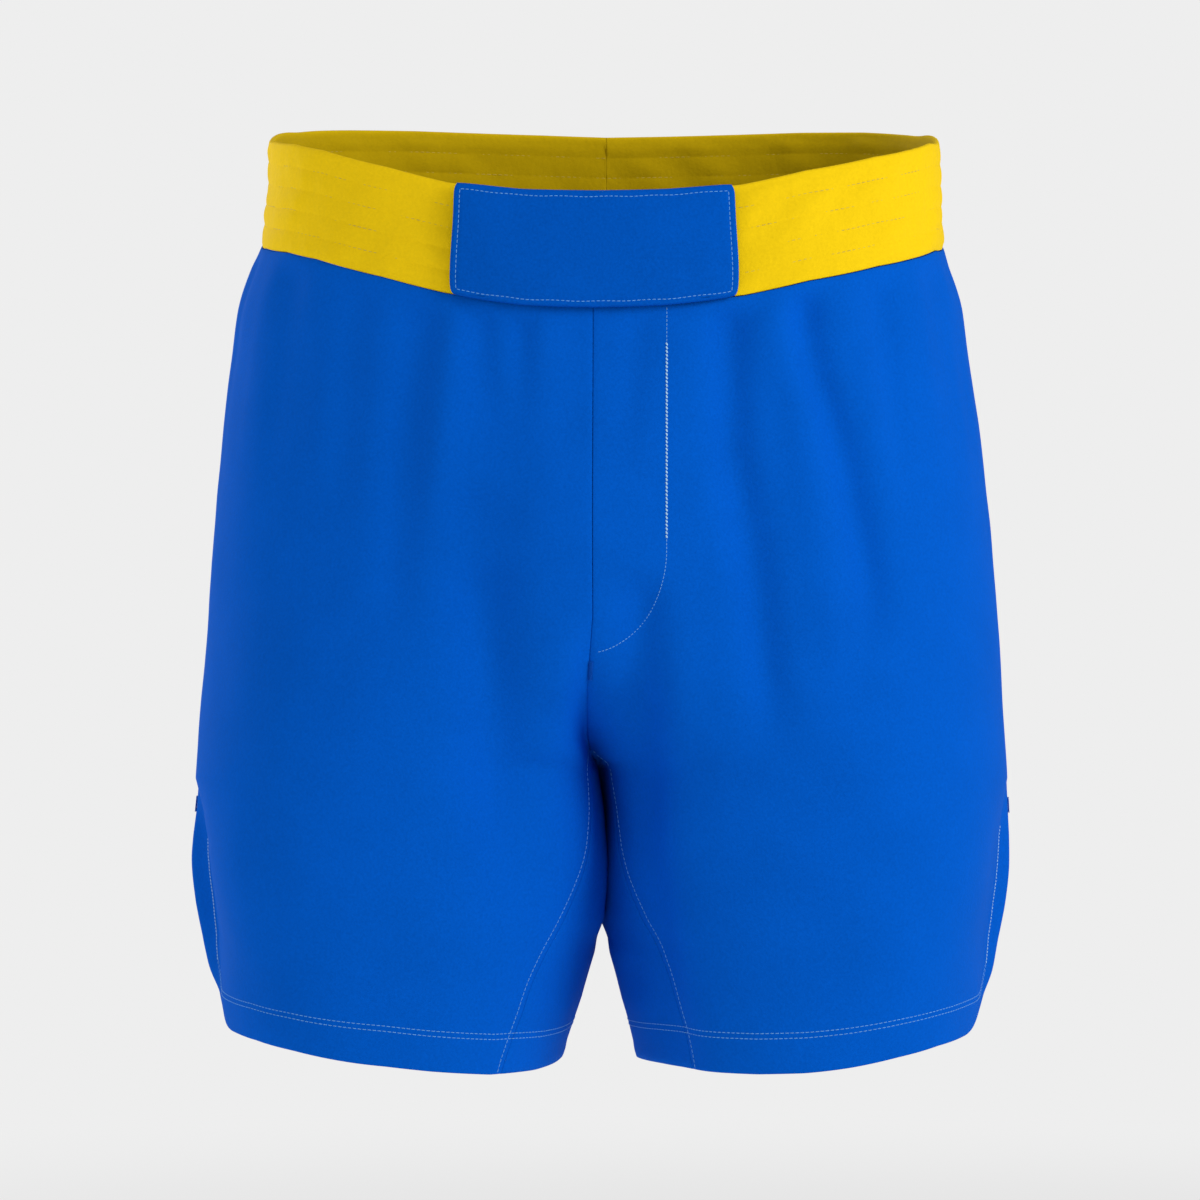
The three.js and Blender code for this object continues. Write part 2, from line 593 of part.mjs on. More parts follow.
// The fly behind the front opening: a facing and hook tape on the left front, and loop tape on
// a shield that reaches across from the right front.
function addFly() {
  const straightRows = stretch(TOP_LEVEL + FLY_TOP_GAP, FLY_STRAIGHT_LEVEL, 5);
  const curvedRows = stretch(FLY_STRAIGHT_LEVEL, FLY_BOTTOM_LEVEL - FLY_FACING_INSET, 4);
  const facingOuter = -BODY_CLOTH - LAYER_GAP;
  const facingInner = facingOuter - FACING_CLOTH;
  const onFacing = (a, level) => onFront(lerp(FLY_FACING_INSET, flyWidth(level), a), level);
  const facingRows = [...straightRows, ...curvedRows.slice(1)];
  const facing = bentSheet(even(4), facingRows, onFacing, facingOuter, facingInner);
  addFoldedPiece("fly_facing_lower", "fly_facing_upper", facing, BLUE);

  const tapeTop = TOP_LEVEL + FLY_TAPE_DROP;
  const tapeRows = stretch(tapeTop, tapeTop + FLY_TAPE_HEIGHT, 4);
  const tapeColumns = stretch(FLY_FACING_INSET, FLY_FACING_INSET + FLY_TAPE_WIDTH, 2);
  const tape = (outer) => bentSheet(tapeColumns, tapeRows, onFront, outer, outer - HOOK_TAPE);
  const hookOuter = facingInner - LAYER_GAP;
  const loopOuter = hookOuter - HOOK_TAPE - LAYER_GAP;
  addPiece("fly_hook_tape", tape(hookOuter), TAPE);
  addPiece("fly_loop_tape", tape(loopOuter), TAPE);

  const shieldOuter = loopOuter - HOOK_TAPE - LAYER_GAP;
  const shieldColumns = stretch(-FLY_SHIELD_WIDTH / 4, (3 * FLY_SHIELD_WIDTH) / 4, 5);
  const shieldRows = stretch(TOP_LEVEL + FLY_TOP_GAP, FLY_SHIELD_BOTTOM_LEVEL, 6);
  const shield = bentSheet(shieldColumns, shieldRows, onFront, shieldOuter, shieldOuter - FACING_CLOTH);
  addPiece("fly_shield", shield, BLUE);
}

// The J of topstitching that holds the fly facing, and the bartack at its foot.
function addFlyStitching() {
  const straight = stretch(TOP_LEVEL + FLY_TOP_GAP, FLY_STRAIGHT_LEVEL, 8);
  const curved = even(10).slice(1).map((t) => {
    const turn = Math.sin(t * FLY_CURVE_TURN * RAD);
    return lerp(FLY_STRAIGHT_LEVEL, FLY_BOTTOM_LEVEL, turn);
  });
  const route = [...straight, ...curved].map((level) => onFront(flyWidth(level), level));
  const thread = bentThread(route, THREAD_WIDTH, THREAD_LIFT, THREAD_HEIGHT);
  addFoldedPiece("fly_stitch_lower", "fly_stitch_upper", thread, THREAD);
  const foot = FLY_BOTTOM_LEVEL + FOLD_MARGIN + FLY_TOP_GAP;
  const tack = stretch(foot, foot + BARTACK_LENGTH, 2).map((level) => onFront(1, level));
  addPiece("fly_bartack", bentThread(tack, BARTACK_WIDTH, 2 * THREAD_LIFT, THREAD_HEIGHT), THREAD);
}

// One row of stitching round a leg's hem. rise is its distance above the lower row, and toVents
// takes it on up the edges of both vents.
function hemRoute(side, rise, toVents) {
  const v = HEM_LINE - rise / PANEL_HEIGHT;
  const u = VENT_FACING_LINE;
  const corner = [[u, v - 0.03], [u - 0.012, v - 0.012], [u - 0.03, v]];
  const across = PANEL_COLUMNS.filter((share) => share < u - 0.04).reverse();
  const up = VENT_ROWS.filter((share) => share < v - 0.04);
  const half = [
    ...(toVents ? up.map((share) => [u, share]) : []),
    ...(toVents ? corner : corner.slice(2)),
    ...across.map((share) => [share, v]),
  ];
  const front = half.map(([a, b]) => onPanel(side, -1)(a, b));
  const back = half.map(([a, b]) => onPanel(side, 1)(a, b)).reverse();
  const t = (v - GUSSET_LINE) / (1 - GUSSET_LINE);
  const inner = stretch(-1, 1, 8).slice(1, -1).map((s) => onGusset(s, side * t));
  return [...front, ...inner, ...back];
}

function addHemStitching() {
  for (const [sideName, side] of SIDES) {
    const lower = bentThread(hemRoute(side, 0, true), THREAD_WIDTH, THREAD_LIFT, THREAD_HEIGHT);
    addPiece(`hem_and_vent_stitch_${sideName}`, lower, THREAD);
    const upper = bentThread(
      hemRoute(side, NEEDLE_SPACING, false), THREAD_WIDTH, THREAD_LIFT, THREAD_HEIGHT,
    );
    addPiece(`hem_upper_stitch_${sideName}`, upper, THREAD);
    const top = stretch(VENT_LEVEL - BARTACK_LENGTH, VENT_LEVEL - 1, 2);
    const tack = top.map((level) => surface(side, level, 0));
    const bar = bentThread(tack, BARTACK_WIDTH, 2 * THREAD_LIFT, THREAD_HEIGHT);
    addPiece(`vent_bartack_${sideName}`, bar, THREAD);
  }
}

// A row of stitching beside each gusset seam, down to the rows round the hem.
function addGussetStitching() {
  const hemRows = HEM_LINE - (NEEDLE_SPACING + 2 * THREAD_WIDTH) / PANEL_HEIGHT;
  const rows = [...PANEL_ROWS.filter((v) => v >= GUSSET_LINE - 1e-9 && v < hemRows), hemRows];
  for (const [sideName, side] of SIDES) {
    for (const [facingName, facing] of FACINGS) {
      const route = rows.map((v) => onPanel(side, facing)(GUSSET_STITCH_LINE, v));
      const thread = bentThread(route, THREAD_WIDTH, THREAD_LIFT, THREAD_HEIGHT);
      addPiece(`gusset_stitch_${facingName}_${sideName}`, thread, THREAD);
    }
  }
}

addLegPanels();
addGusset();
addHemFacings();
addWaistband();
addWaistbandStitching();
addClosureFlap();
addFly();
addFlyStitching();
addHemStitching();
addGussetStitching();

export default shorts;
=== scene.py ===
"""Boxing shorts: a stitched waistband, a closure flap, a fly that folds open and vented legs."""

import json
import math

import bpy
import numpy as np
from bpy.props import FloatProperty, FloatVectorProperty, PointerProperty
from bpy.types import Operator, Panel, PropertyGroup
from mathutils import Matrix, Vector


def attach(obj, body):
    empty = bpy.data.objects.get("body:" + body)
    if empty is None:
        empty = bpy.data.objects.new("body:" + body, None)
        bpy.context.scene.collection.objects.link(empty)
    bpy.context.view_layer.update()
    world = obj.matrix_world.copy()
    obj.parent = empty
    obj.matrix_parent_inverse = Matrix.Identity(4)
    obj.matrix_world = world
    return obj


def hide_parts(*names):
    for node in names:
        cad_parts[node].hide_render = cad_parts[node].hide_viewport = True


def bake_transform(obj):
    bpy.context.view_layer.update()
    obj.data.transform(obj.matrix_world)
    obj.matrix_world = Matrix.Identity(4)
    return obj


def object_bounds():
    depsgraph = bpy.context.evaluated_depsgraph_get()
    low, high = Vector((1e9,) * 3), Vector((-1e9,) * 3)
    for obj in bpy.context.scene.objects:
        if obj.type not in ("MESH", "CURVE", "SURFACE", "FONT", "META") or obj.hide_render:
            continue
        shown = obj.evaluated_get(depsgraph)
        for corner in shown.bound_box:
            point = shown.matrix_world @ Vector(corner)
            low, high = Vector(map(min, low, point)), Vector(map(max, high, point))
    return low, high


bl_info = {
    "name": "Boxing Shorts",
    "version": (1, 0, 0),
    "blender": (4, 5, 0),
    "location": "View3D > Sidebar > Shorts",
    "description": "Makes boxing shorts with a stitched waistband, flap, fly and vented legs",
    "category": "Add Mesh",
}

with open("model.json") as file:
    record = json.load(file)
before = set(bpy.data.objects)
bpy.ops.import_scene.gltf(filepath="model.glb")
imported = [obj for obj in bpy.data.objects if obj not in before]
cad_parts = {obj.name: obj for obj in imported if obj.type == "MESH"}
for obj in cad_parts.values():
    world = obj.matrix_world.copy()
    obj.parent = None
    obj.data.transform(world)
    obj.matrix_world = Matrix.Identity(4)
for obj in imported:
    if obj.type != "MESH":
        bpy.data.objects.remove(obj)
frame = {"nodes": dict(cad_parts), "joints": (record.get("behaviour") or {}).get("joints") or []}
FRAME_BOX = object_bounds()

MM = 0.001

# ---- The garment's surface, in millimetres, as the frame has it -----------------------------
# A level is measured down from the waist and an angle round each leg: 0 at the outside,
# -90 at the front, +90 at the back, 180 at the inner thigh. Side is 1 for the wearer's left.

BAND_HEIGHT = 52.0
SPLIT_LEVEL = 200.0
GUSSET_LEVEL = 292.0
CROTCH_LEVEL = 300.0
VENT_LEVEL = 325.0
HEM_LEVEL = 445.0
# Level, half width, front depth and back depth.
STATIONS = np.array(
    [
        (0.0, 169.0, 110.0, 110.0),
        (BAND_HEIGHT, 171.0, 111.0, 112.0),
        (85.0, 181.5, 114.0, 117.0),
        (215.0, 196.5, 117.0, 123.0),
        (342.0, 203.0, 112.0, 112.0),
        (HEM_LEVEL, 187.0, 104.0, 104.0),
    ]
)
WAIST_RISE_SIDE = 10.0
WAIST_RISE_BACK = 25.0
WAIST_TILT_FADE = (60.0, 240.0)
SECTION_POWER = 2.3
LEG_SPREAD = 0.0011
CROTCH_STEEPNESS = 0.011

FLAP_HALF_WIDTH = 67.0
FLAP_RISE = 1.0
FLAP_DROP = 5.0
FLY_WIDTH = 35.0
FLY_STRAIGHT_LEVEL = 190.0
FLY_BOTTOM_LEVEL = 243.0
FLY_CURVE_TURN = 84.0
FLY_SHIELD_WIDTH = 44.0
FLY_SHIELD_BOTTOM = 210.0
FLY_FACING_INSET = 3.0
FLY_TOP_GAP = 2.0
GUSSET_ANGLE = 51.0
GUSSET_TIP_RISE = 0.9
HEM_SIDE_RISE = 10.0
HEM_FACING = 17.0
VENT_FACING = 8.0
VENT_SPREAD = 12.0
VENT_CORNER_ANGLE = 20.0
VENT_CORNER_HEIGHT = 36.0
SEAM_GAP = 0.3
SEAM_ANGLE = 0.04
CENTRE_GAP = 0.004
LAYER_GAP = 0.6
BODY_CLOTH = 1.0
FACING_CLOTH = 0.8
CASING_CLOTH = 1.0
ELASTIC = 1.6
FLAP_CLOTH = 0.9
STITCH_ROWS = 4
STITCH_INSET = 3.0
NEEDLE_SPACING = 2.6
BARTACK_LENGTH = 9.0
BARTACK_WIDTH = 2.4
TAPE = 0.6
TOP_LEVEL = BAND_HEIGHT + 0.5
PANEL_HEIGHT = HEM_LEVEL - TOP_LEVEL
FACING_OUTER = -BODY_CLOTH - LAYER_GAP

# The spacing of the sheets' grid lines and the rough lengths that it divides. The width of a
# panel at its hem turns a distance from an edge into a share.
GRID = 2.6
PANEL_WIDTH = 240
PANEL_HEM_WIDTH = 200
GUSSET_WIDTH = 110
VENT_HEIGHT = 95
BAND_HALF = 450

SIDES = (("left", 1.0), ("right", -1.0))
FACINGS = (("front", -1.0), ("back", 1.0))
# The two halves of the waistband, as shares of the way round it.
HALVES = (("left", (0.0, 0.5)), ("right", (0.5, 1.0)))


def lerp(a, b, t):
    return a + (b - a) * t


def smoothstep(t, low, high):
    x = np.clip((t - low) / (high - low), 0, 1)
    return x * x * (3 - 2 * x)


def between(t, rise, fall):
    """From 0 to 1 over the span of the rise and back to 0 over that of the fall."""
    return smoothstep(t, *rise) * (1 - smoothstep(t, *fall))


def by_side(right, at, places, for_right, for_left):
    """A table's value, which differs between the wearer's right and left."""
    return np.where(right, np.interp(at, places, for_right), np.interp(at, places, for_left))


def profile(level, column):
    """One column of the stations at a level: straight down the waistband, then a smooth curve."""
    level = np.asarray(level, float)
    last = len(STATIONS) - 1
    i = np.clip(np.searchsorted(STATIONS[:, 0], level) - 1, 0, last - 1)

    def slope(k):
        before, after = STATIONS[np.clip(k - 1, 1, last - 1)], STATIONS[np.clip(k + 1, 2, last)]
        return (after[..., column] - before[..., column]) / (after[..., 0] - before[..., 0])

    span = STATIONS[i + 1, 0] - STATIONS[i, 0]
    t = (level - STATIONS[i, 0]) / span
    rise = STATIONS[i + 1, column] - STATIONS[i, column]
    start = slope(i) * span - rise
    end = rise - slope(i + 1) * span
    curved = STATIONS[i, column] + t * rise + t * (1 - t) * ((1 - t) * start + t * end)
    return np.where(i == 0, STATIONS[0, column] + t * rise, curved)


def leg_share(level):
    """How far each leg's centre lies from the middle, as a share of the leg's half width."""
    level = np.asarray(level, float)
    height = CROTCH_LEVEL - SPLIT_LEVEL
    t = np.clip((CROTCH_LEVEL - level) / height, 0, 1)
    slope = CROTCH_STEEPNESS * height
    above = (2 * t - 3) * t * t + 1 - (t - 2) * t * t * slope - t * slope
    return np.where(level >= CROTCH_LEVEL, 1 + LEG_SPREAD * (level - CROTCH_LEVEL), above)


def meeting_angle(level):
    """The angle from the inner thigh at which a leg's outline meets the middle of the body."""
    share = np.clip(leg_share(level), 1e-6, 1)
    across = np.maximum(share**-SECTION_POWER - 1, 0)
    return np.degrees(np.arctan(across ** (1 / SECTION_POWER)))


def meeting_level(angle):
    """The level at which a leg's outline meets the middle of the body at an angle."""
    high = np.full(np.shape(angle), SPLIT_LEVEL)
    low = np.full(np.shape(angle), CROTCH_LEVEL)
    for _ in range(40):
        middle = (high + low) / 2
        above = meeting_angle(middle) > np.abs(angle)
        high, low = np.where(above, middle, high), np.where(above, low, middle)
    return (high + low) / 2


def surface_point(side, level, angle):
    """A point of the plain surface, before the worn cloth's shift."""
    across, along = np.cos(np.radians(angle)), np.sin(np.radians(angle))
    reach = np.abs(across) ** SECTION_POWER + np.abs(along) ** SECTION_POWER
    reach = reach ** (-1 / SECTION_POWER)
    share = leg_share(level)
    half_width = profile(level, 1) / (1 + share)
    depth = np.where(along < 0, profile(level, 2), profile(level, 3))
    lean = reach * along
    tilt = 1 - smoothstep(level, *WAIST_TILT_FADE)
    rise = WAIST_RISE_SIDE + WAIST_RISE_BACK * lean - WAIST_RISE_SIDE * lean * lean
    x = side * half_width * (share + reach * across)
    return np.stack([x, depth * lean, tilt * rise - level], -1)


def unit(v):
    return v / np.maximum(np.linalg.norm(v, axis=-1, keepdims=True), 1e-12)


# How the worn shorts hang away from the plain surface: the hem's extra rise by angle, the
# lean of the crease between the legs by level, and the extra rise of the waist's front and back
# by how far across it is, for the wearer's right and left.
HEM_RISE_ANGLES = (0, 20, 45, 60, 75, 90, 105, 125, 145, 170)
HEM_RISE_RIGHT = (6.5, 7.5, 8.5, 7.8, 6.0, 4.2, 1.6, -1.2, -1.6, -0.5)
HEM_RISE_LEFT = (6.0, 6.6, 6.8, 5.4, 3.4, 1.6, 0.8, 1.0, 1.2, 0.0)
CREASE_LEVELS = (225, 262, 285, 300, 320, 345, 372, 395)
CREASE = (0.0, -3.2, -4.4, -2.4, -0.4, 0.0, 0.0, 0.0)
CREASE_REACH = 34.0
# How hard the cloth beside the crease is drawn in to it, on the right and left, and where.
PINCH = (0.88, 0.55)
PINCH_LEVELS = ((262, 300), (335, 405))
WAIST_SHARES = (0.0, 0.2, 0.42, 0.6, 0.8, 0.9, 0.97, 1.0)
WAIST_RISE_RIGHT = (0.0, 0.4, 3.0, 7.6, 10.5, 9.6, 6.2, 3.2)
WAIST_RISE_LEFT = (0.0, 0.2, 1.6, 5.4, 6.6, 5.6, 4.6, 1.0)
BACK_RISE_RIGHT = (-1.0, 0.2, 1.2, 2.0, 2.2, 2.2, 1.9, 1.5)
BACK_RISE_LEFT = (-1.0, -0.6, 0.0, 0.5, 0.2, -0.6, -1.0, -0.6)
# How far the wearer's right side hangs in, by level.
NARROW_LEVELS = (0, 20, 40, 52, 75, 110, 200, 250, 290, 320, 345, 392, 418, 445)
NARROWING = (4.0, 4.6, 4.0, 2.2, 1.6, 1.4, 1.0, 2.2, 2.4, 1.6, 0.0, 0.0, 1.4, 1.6)
# The round swell of the front: how far forward, the height of its middle and its half sizes.
SWELL = 6.0
SWELL_HEIGHT = -170.0
SWELL_HALF_SIZES = (46.0, 44.0)
# The wearer's left thigh sits behind the right one at the crease: how far, over what levels, and
# how far to the right and left of the middle its edge reaches.
THIGH_SET_BACK = 17.0
SET_BACK_LEVELS = (222, 262, 290, 370, 410, 445)
SET_BACK = (0.0, 0.45, 1.0, 1.0, 0.85, 0.85)
SET_BACK_EDGE_RIGHT = 7.0
SET_BACK_EDGE_LEFT = (3, 45)
# Where the shifts start or end: the spans are distances forwards or backwards, the rest levels.
FRONT_SPAN = (0, 60)
PINCH_SPAN = (8, 40)
BACK_SPAN = (0, 45)
SWELL_START = (60, 100)
HEM_RISE_START = (345, 436)
WAIST_RISE_END = (56, 200)


def worn_shift(side, level, angle, point):
    """How the worn cloth moves sideways, forwards and upwards, in millimetres."""
    x, y, z = point[..., 0], point[..., 1], point[..., 2]
    right = x < 0
    front = smoothstep(-y, *FRONT_SPAN)
    share = np.clip(np.abs(x) / profile(level, 1), 0, 1)
    near = np.exp(-((x / CREASE_REACH) ** 2))
    crease = np.interp(level, CREASE_LEVELS, CREASE) * near
    pinch = between(level, *PINCH_LEVELS)
    crease = crease - np.where(right, *PINCH) * x * near * pinch * smoothstep(-y, *PINCH_SPAN)
    narrow = np.interp(level, NARROW_LEVELS, NARROWING) * share**1.5 * right
    across, down = x / SWELL_HALF_SIZES[0], (z - SWELL_HEIGHT) / SWELL_HALF_SIZES[1]
    swell = SWELL * front * np.exp(-(across**2) - down**2) * smoothstep(level, *SWELL_START)
    recess = np.where(
        right, np.exp(-((x / SET_BACK_EDGE_RIGHT) ** 2)), 1 - smoothstep(x, *SET_BACK_EDGE_LEFT)
    )
    swell = swell - THIGH_SET_BACK * np.interp(level, SET_BACK_LEVELS, SET_BACK) * recess * front
    rise = by_side(side < 0, np.abs(angle), HEM_RISE_ANGLES, HEM_RISE_RIGHT, HEM_RISE_LEFT)
    rise = rise * smoothstep(level, *HEM_RISE_START)
    lift = by_side(right, share, WAIST_SHARES, WAIST_RISE_RIGHT, WAIST_RISE_LEFT)
    behind = by_side(right, share, WAIST_SHARES, BACK_RISE_RIGHT, BACK_RISE_LEFT)
    lift = lerp(lift, behind, smoothstep(y, *BACK_SPAN)) * (1 - smoothstep(level, *WAIST_RISE_END))
    return np.stack([crease + narrow, -swell, rise + lift], -1)


class Place:
    """Points of the surface, with their outward normals, sides, levels and angles."""

    def __init__(self, side, level, angle):
        self.side, self.level, self.angle = np.broadcast_arrays(
            np.asarray(side, float), np.asarray(level, float), np.asarray(angle, float)
        )
        step = 0.05
        s, lv, an = self.side, self.level, self.angle
        self.point = surface_point(s, lv, an)
        down = surface_point(s, lv + step, an) - surface_point(s, lv - step, an)
        round_leg = surface_point(s, lv, an + step) - surface_point(s, lv, an - step)
        self.normal = unit(np.cross(round_leg, down) * -s[..., None])
        self.up = unit(-down)
        self.point = self.point + worn_shift(s, lv, an, self.point)

    def lifted(self, offset):
        return self.point + self.normal * np.asarray(offset)[..., None]


def front_angle(level, x):
    """The angle at which the front of the surface is x from the middle, on its own side."""
    share = leg_share(level)
    half_width = profile(level, 1) / (1 + share)
    across = x / half_width - share
    steep = np.maximum(np.abs(across), 1e-6) ** -SECTION_POWER - 1
    angle = np.degrees(np.arctan(np.maximum(steep, 0) ** (1 / SECTION_POWER)))
    return np.where(across > 0, -angle, angle - 180)


def on_front(x, level):
    x, level = np.broadcast_arrays(np.asarray(x, float), np.asarray(level, float))
    return Place(np.where(x < 0, -1.0, 1.0), level, front_angle(level, np.abs(x)))


def on_band(a, level):
    """A place on the waistband, a from the opening at the front round the wearer's left."""
    end = front_angle(level, SEAM_GAP / 2)
    return Place(1.0, level, lerp(end, 180 - end, a))


def gusset_angle(level):
    t = np.maximum((level - GUSSET_LEVEL) / (HEM_LEVEL - GUSSET_LEVEL), 0)
    return lerp(meeting_angle(GUSSET_LEVEL), GUSSET_ANGLE, t**1.3)


def hem_level(angle):
    return HEM_LEVEL - HEM_SIDE_RISE * np.maximum(np.cos(np.radians(angle)), 0) ** 2


def vent_angle(level):
    t = np.maximum((level - VENT_LEVEL) / (HEM_LEVEL - VENT_LEVEL), 0)
    return VENT_SPREAD * t**1.3


CORNER_SHARE = 1 - math.sqrt(0.5)
HEM_CORNER_LEVEL = HEM_LEVEL - HEM_SIDE_RISE - VENT_CORNER_HEIGHT * CORNER_SHARE
HEM_CORNER_ANGLE = vent_angle(HEM_CORNER_LEVEL) + VENT_CORNER_ANGLE * CORNER_SHARE


def panel_top(u):
    return np.stack([TOP_LEVEL + 0 * u, lerp(90 - SEAM_ANGLE, SEAM_ANGLE, u)])


def panel_inner(v):
    level = lerp(TOP_LEVEL, HEM_LEVEL, v)
    inner = np.where(level < GUSSET_LEVEL, meeting_angle(level), gusset_angle(level))
    return np.stack([level, 180 - inner - SEAM_ANGLE])


def panel_outer(v):
    level = lerp(TOP_LEVEL, HEM_CORNER_LEVEL, v)
    arc_level = HEM_LEVEL - HEM_SIDE_RISE - VENT_CORNER_HEIGHT
    t = np.clip((level - arc_level) / VENT_CORNER_HEIGHT, 0, 1)
    corner = VENT_CORNER_ANGLE * (1 - np.sqrt(1 - t * t))
    return np.stack([level, SEAM_ANGLE + vent_angle(level) + corner])


def panel_hem(u):
    angle = lerp(180 - GUSSET_ANGLE - SEAM_ANGLE, HEM_CORNER_ANGLE + SEAM_ANGLE, u)
    arc_angle = vent_angle(HEM_CORNER_LEVEL) + VENT_CORNER_ANGLE
    t = np.clip((arc_angle - angle) / VENT_CORNER_ANGLE, 0, 1)
    return np.stack([hem_level(angle) - VENT_CORNER_HEIGHT * (1 - np.sqrt(1 - t * t)), angle])


def panel_place(u, v):
    """Level and angle in a leg panel, u from the middle of the body to the side, v down."""
    u, v = np.broadcast_arrays(np.asarray(u, float), np.asarray(v, float))
    zero, one = np.zeros_like(u), np.ones_like(u)
    across = lerp(panel_inner(v), panel_outer(v), u)
    down = lerp(panel_top(u), panel_hem(u), v)
    top = lerp(panel_top(zero), panel_top(one), u)
    return across + down - lerp(top, lerp(panel_hem(zero), panel_hem(one), u), v)


def on_panel(side, facing):
    def place(u, v):
        level, angle = panel_place(u, v)
        return Place(side, level, facing * angle)

    return place


def on_gusset(s, t):
    """A place in the gusset: t from the crotch to a hem, s from the front seam to the back one."""
    s, t = np.broadcast_arrays(np.asarray(s, float), np.asarray(t, float))
    side = np.where(t < 0, -1.0, 1.0)
    top = meeting_level(s * meeting_angle(GUSSET_LEVEL))
    seam_level = lerp(GUSSET_LEVEL, HEM_LEVEL, np.abs(t))
    angle = s * (gusset_angle(seam_level) - SEAM_ANGLE)
    level = lerp(top, HEM_LEVEL, np.abs(t))
    place = Place(side, level, np.where(s < 0, -180 - angle, 180 - angle))
    middle = t == 0
    place.point[middle & (np.abs(s) == 1), 2] += GUSSET_TIP_RISE
    place.point[middle, 0] = np.interp(place.level[middle], CREASE_LEVELS, CREASE)
    place.normal[middle, 0] = 0
    place.normal = unit(place.normal)
    return place


def fly_width(level):
    t = (level - FLY_STRAIGHT_LEVEL) / (FLY_BOTTOM_LEVEL - FLY_STRAIGHT_LEVEL)
    return FLY_WIDTH * np.sqrt(1 - np.clip(t, 0, 0.995) ** 2)


GUSSET_LINE = (GUSSET_LEVEL - TOP_LEVEL) / PANEL_HEIGHT
VENT_LINE = (VENT_LEVEL - TOP_LEVEL) / (HEM_CORNER_LEVEL - TOP_LEVEL)
HEM_LINE = 1 - HEM_FACING / PANEL_HEIGHT
VENT_FACING_LINE = 1 - VENT_FACING / PANEL_HEM_WIDTH
GUSSET_STITCH_LINE = STITCH_INSET / PANEL_HEM_WIDTH

# ---- How the worn cloth drapes ---------------------------------------------------------------

RNG = np.random.default_rng(41)
LATTICE = RNG.random((24, 24, 24)) * 2 - 1


def soft_noise(p, size, shift=0.0):
    """Smooth noise from -1 to 1 that varies over about size millimetres."""
    q = np.asarray(p) / size + shift
    cell = np.floor(q).astype(int)
    t = q - cell
    t = t * t * (3 - 2 * t)
    total = 0
    for dx in (0, 1):
        for dy in (0, 1):
            for dz in (0, 1):
                at = LATTICE[tuple((cell[..., k] + d) % 24 for k, d in enumerate((dx, dy, dz)))]
                weight = 1.0
                for k, d in enumerate((dx, dy, dz)):
                    weight = weight * (t[..., k] if d else 1 - t[..., k])
                total = total + at * weight
    return total


# Long soft folds of the front: depth, width and the places (across, height) they run through.
FRONT_FOLDS = [
    (3.4, 11.0, [(-79, -60), (-88, -130), (-92, -175), (-95, -210)]),
    (2.8, 8.5, [(-56, -52), (-53, -95), (-50, -130)]),
    (2.4, 6.5, [(-36, -54), (-34, -90), (-34, -110)]),
    (2.2, 9.0, [(-112, -54), (-117, -110), (-121, -160)]),
    (1.8, 8.0, [(-146, -50), (-151, -100), (-155, -140)]),
    (4.6, 20.0, [(-54, -172), (-53, -235), (-46, -280), (-38, -350)]),
    (4.6, 17.0, [(-52, -205), (-51, -235), (-46, -275), (-42, -305)]),
    (
        6.4, 11.0,
        [(64, -60), (65, -100), (66, -145), (72, -172), (77, -202), (80, -232), (84, -265)],
    ),
    (
        5.4, 8.8,
        [(98, -52), (102, -90), (107, -113), (115, -132), (121, -155), (129, -190), (134, -215)],
    ),
    (6.2, 11.5, [(23, -214), (22, -260), (23, -330), (30, -385), (38, -440)]),
    (2.8, 8.0, [(136, -50), (140, -90), (143, -125)]),
    (2.2, 8.0, [(165, -44), (170, -90), (176, -140)]),
    (1.6, 7.0, [(22, -75), (20, -110), (18, -135)]),
    (-1.6, 9.0, [(-64, -64), (-70, -120), (-76, -170)]),
    (-2.2, 9.5, [(85, -60), (92, -110), (104, -170), (114, -240)]),
    (-1.6, 8.0, [(120, -56), (130, -100), (140, -160)]),
]
# Folds of the seat: depth, width and places.
BACK_FOLDS = [
    (4.2, 11.0, [(-70, -50), (-76, -120), (-84, -190)]),
    (3.2, 9.0, [(-118, -45), (-124, -120), (-130, -180)]),
    (4.4, 11.0, [(58, -50), (66, -120), (78, -200)]),
    (3.2, 9.0, [(122, -45), (128, -130), (133, -190)]),
    (-2.0, 9.0, [(-92, -50), (-98, -120), (-104, -190)]),
    (2.6, 12.0, [(-30, -250), (-62, -285), (-104, -300)]),
    (2.6, 12.0, [(30, -250), (62, -285), (104, -300)]),
]
# The gap between the thighs: how far the inner thighs stand apart at a level, halved, and how
# much farther the wearer's left one stands.
THIGH_GAP_LEVELS = (300, 374, 385.5, 393, 400.5, 408, 415.5, 423, 430.5, 438, 445)
THIGH_GAP = (0.3, 0.35, 2.0, 3.0, 5.0, 7.0, 9.0, 11.5, 14.0, 16.4, 17.7)
LEFT_GAP_LEVELS = (374, 386, 404, 425, 440)
LEFT_GAP = (0, 2.2, 2.0, 1.2, 0)
# How far the inner thighs lean across each other, over what depth and where.
CROSSING = 4.2
CROSSING_REACH = (22, 40)
CROSSING_LEVELS = ((292, 300), (372, 392))
# How far the cloth tucks in behind the lip of a vent, by level, and how far the lip flares. Both
# are less on the wearer's left.
VENT_LIP_LEVELS = (306, 322, 335, 350, 370, 388, 405, 422, 445)
VENT_LIP = (0.0, 5.0, 7.8, 8.8, 9.0, 8.0, 5.0, 1.0, 0.0)
VENT_FLARE = (0.0, 0.8, 2.0, 2.6, 2.6, 1.8, 1.6, 0.8, 0.0)
LIP_SHARES = (1.0, 0.66)
FLARE_SHARES = (1.0, 0.7)
MM_PER_DEGREE = 1.92
# Where the folds and gathers start and end, in millimetres down from the waist.
FOLD_START = (53, 66)
GATHER_LEVELS = ((53, 64), (80, 220))
LOOSE_START = (56, 90)
INNER_START = (288, 302)


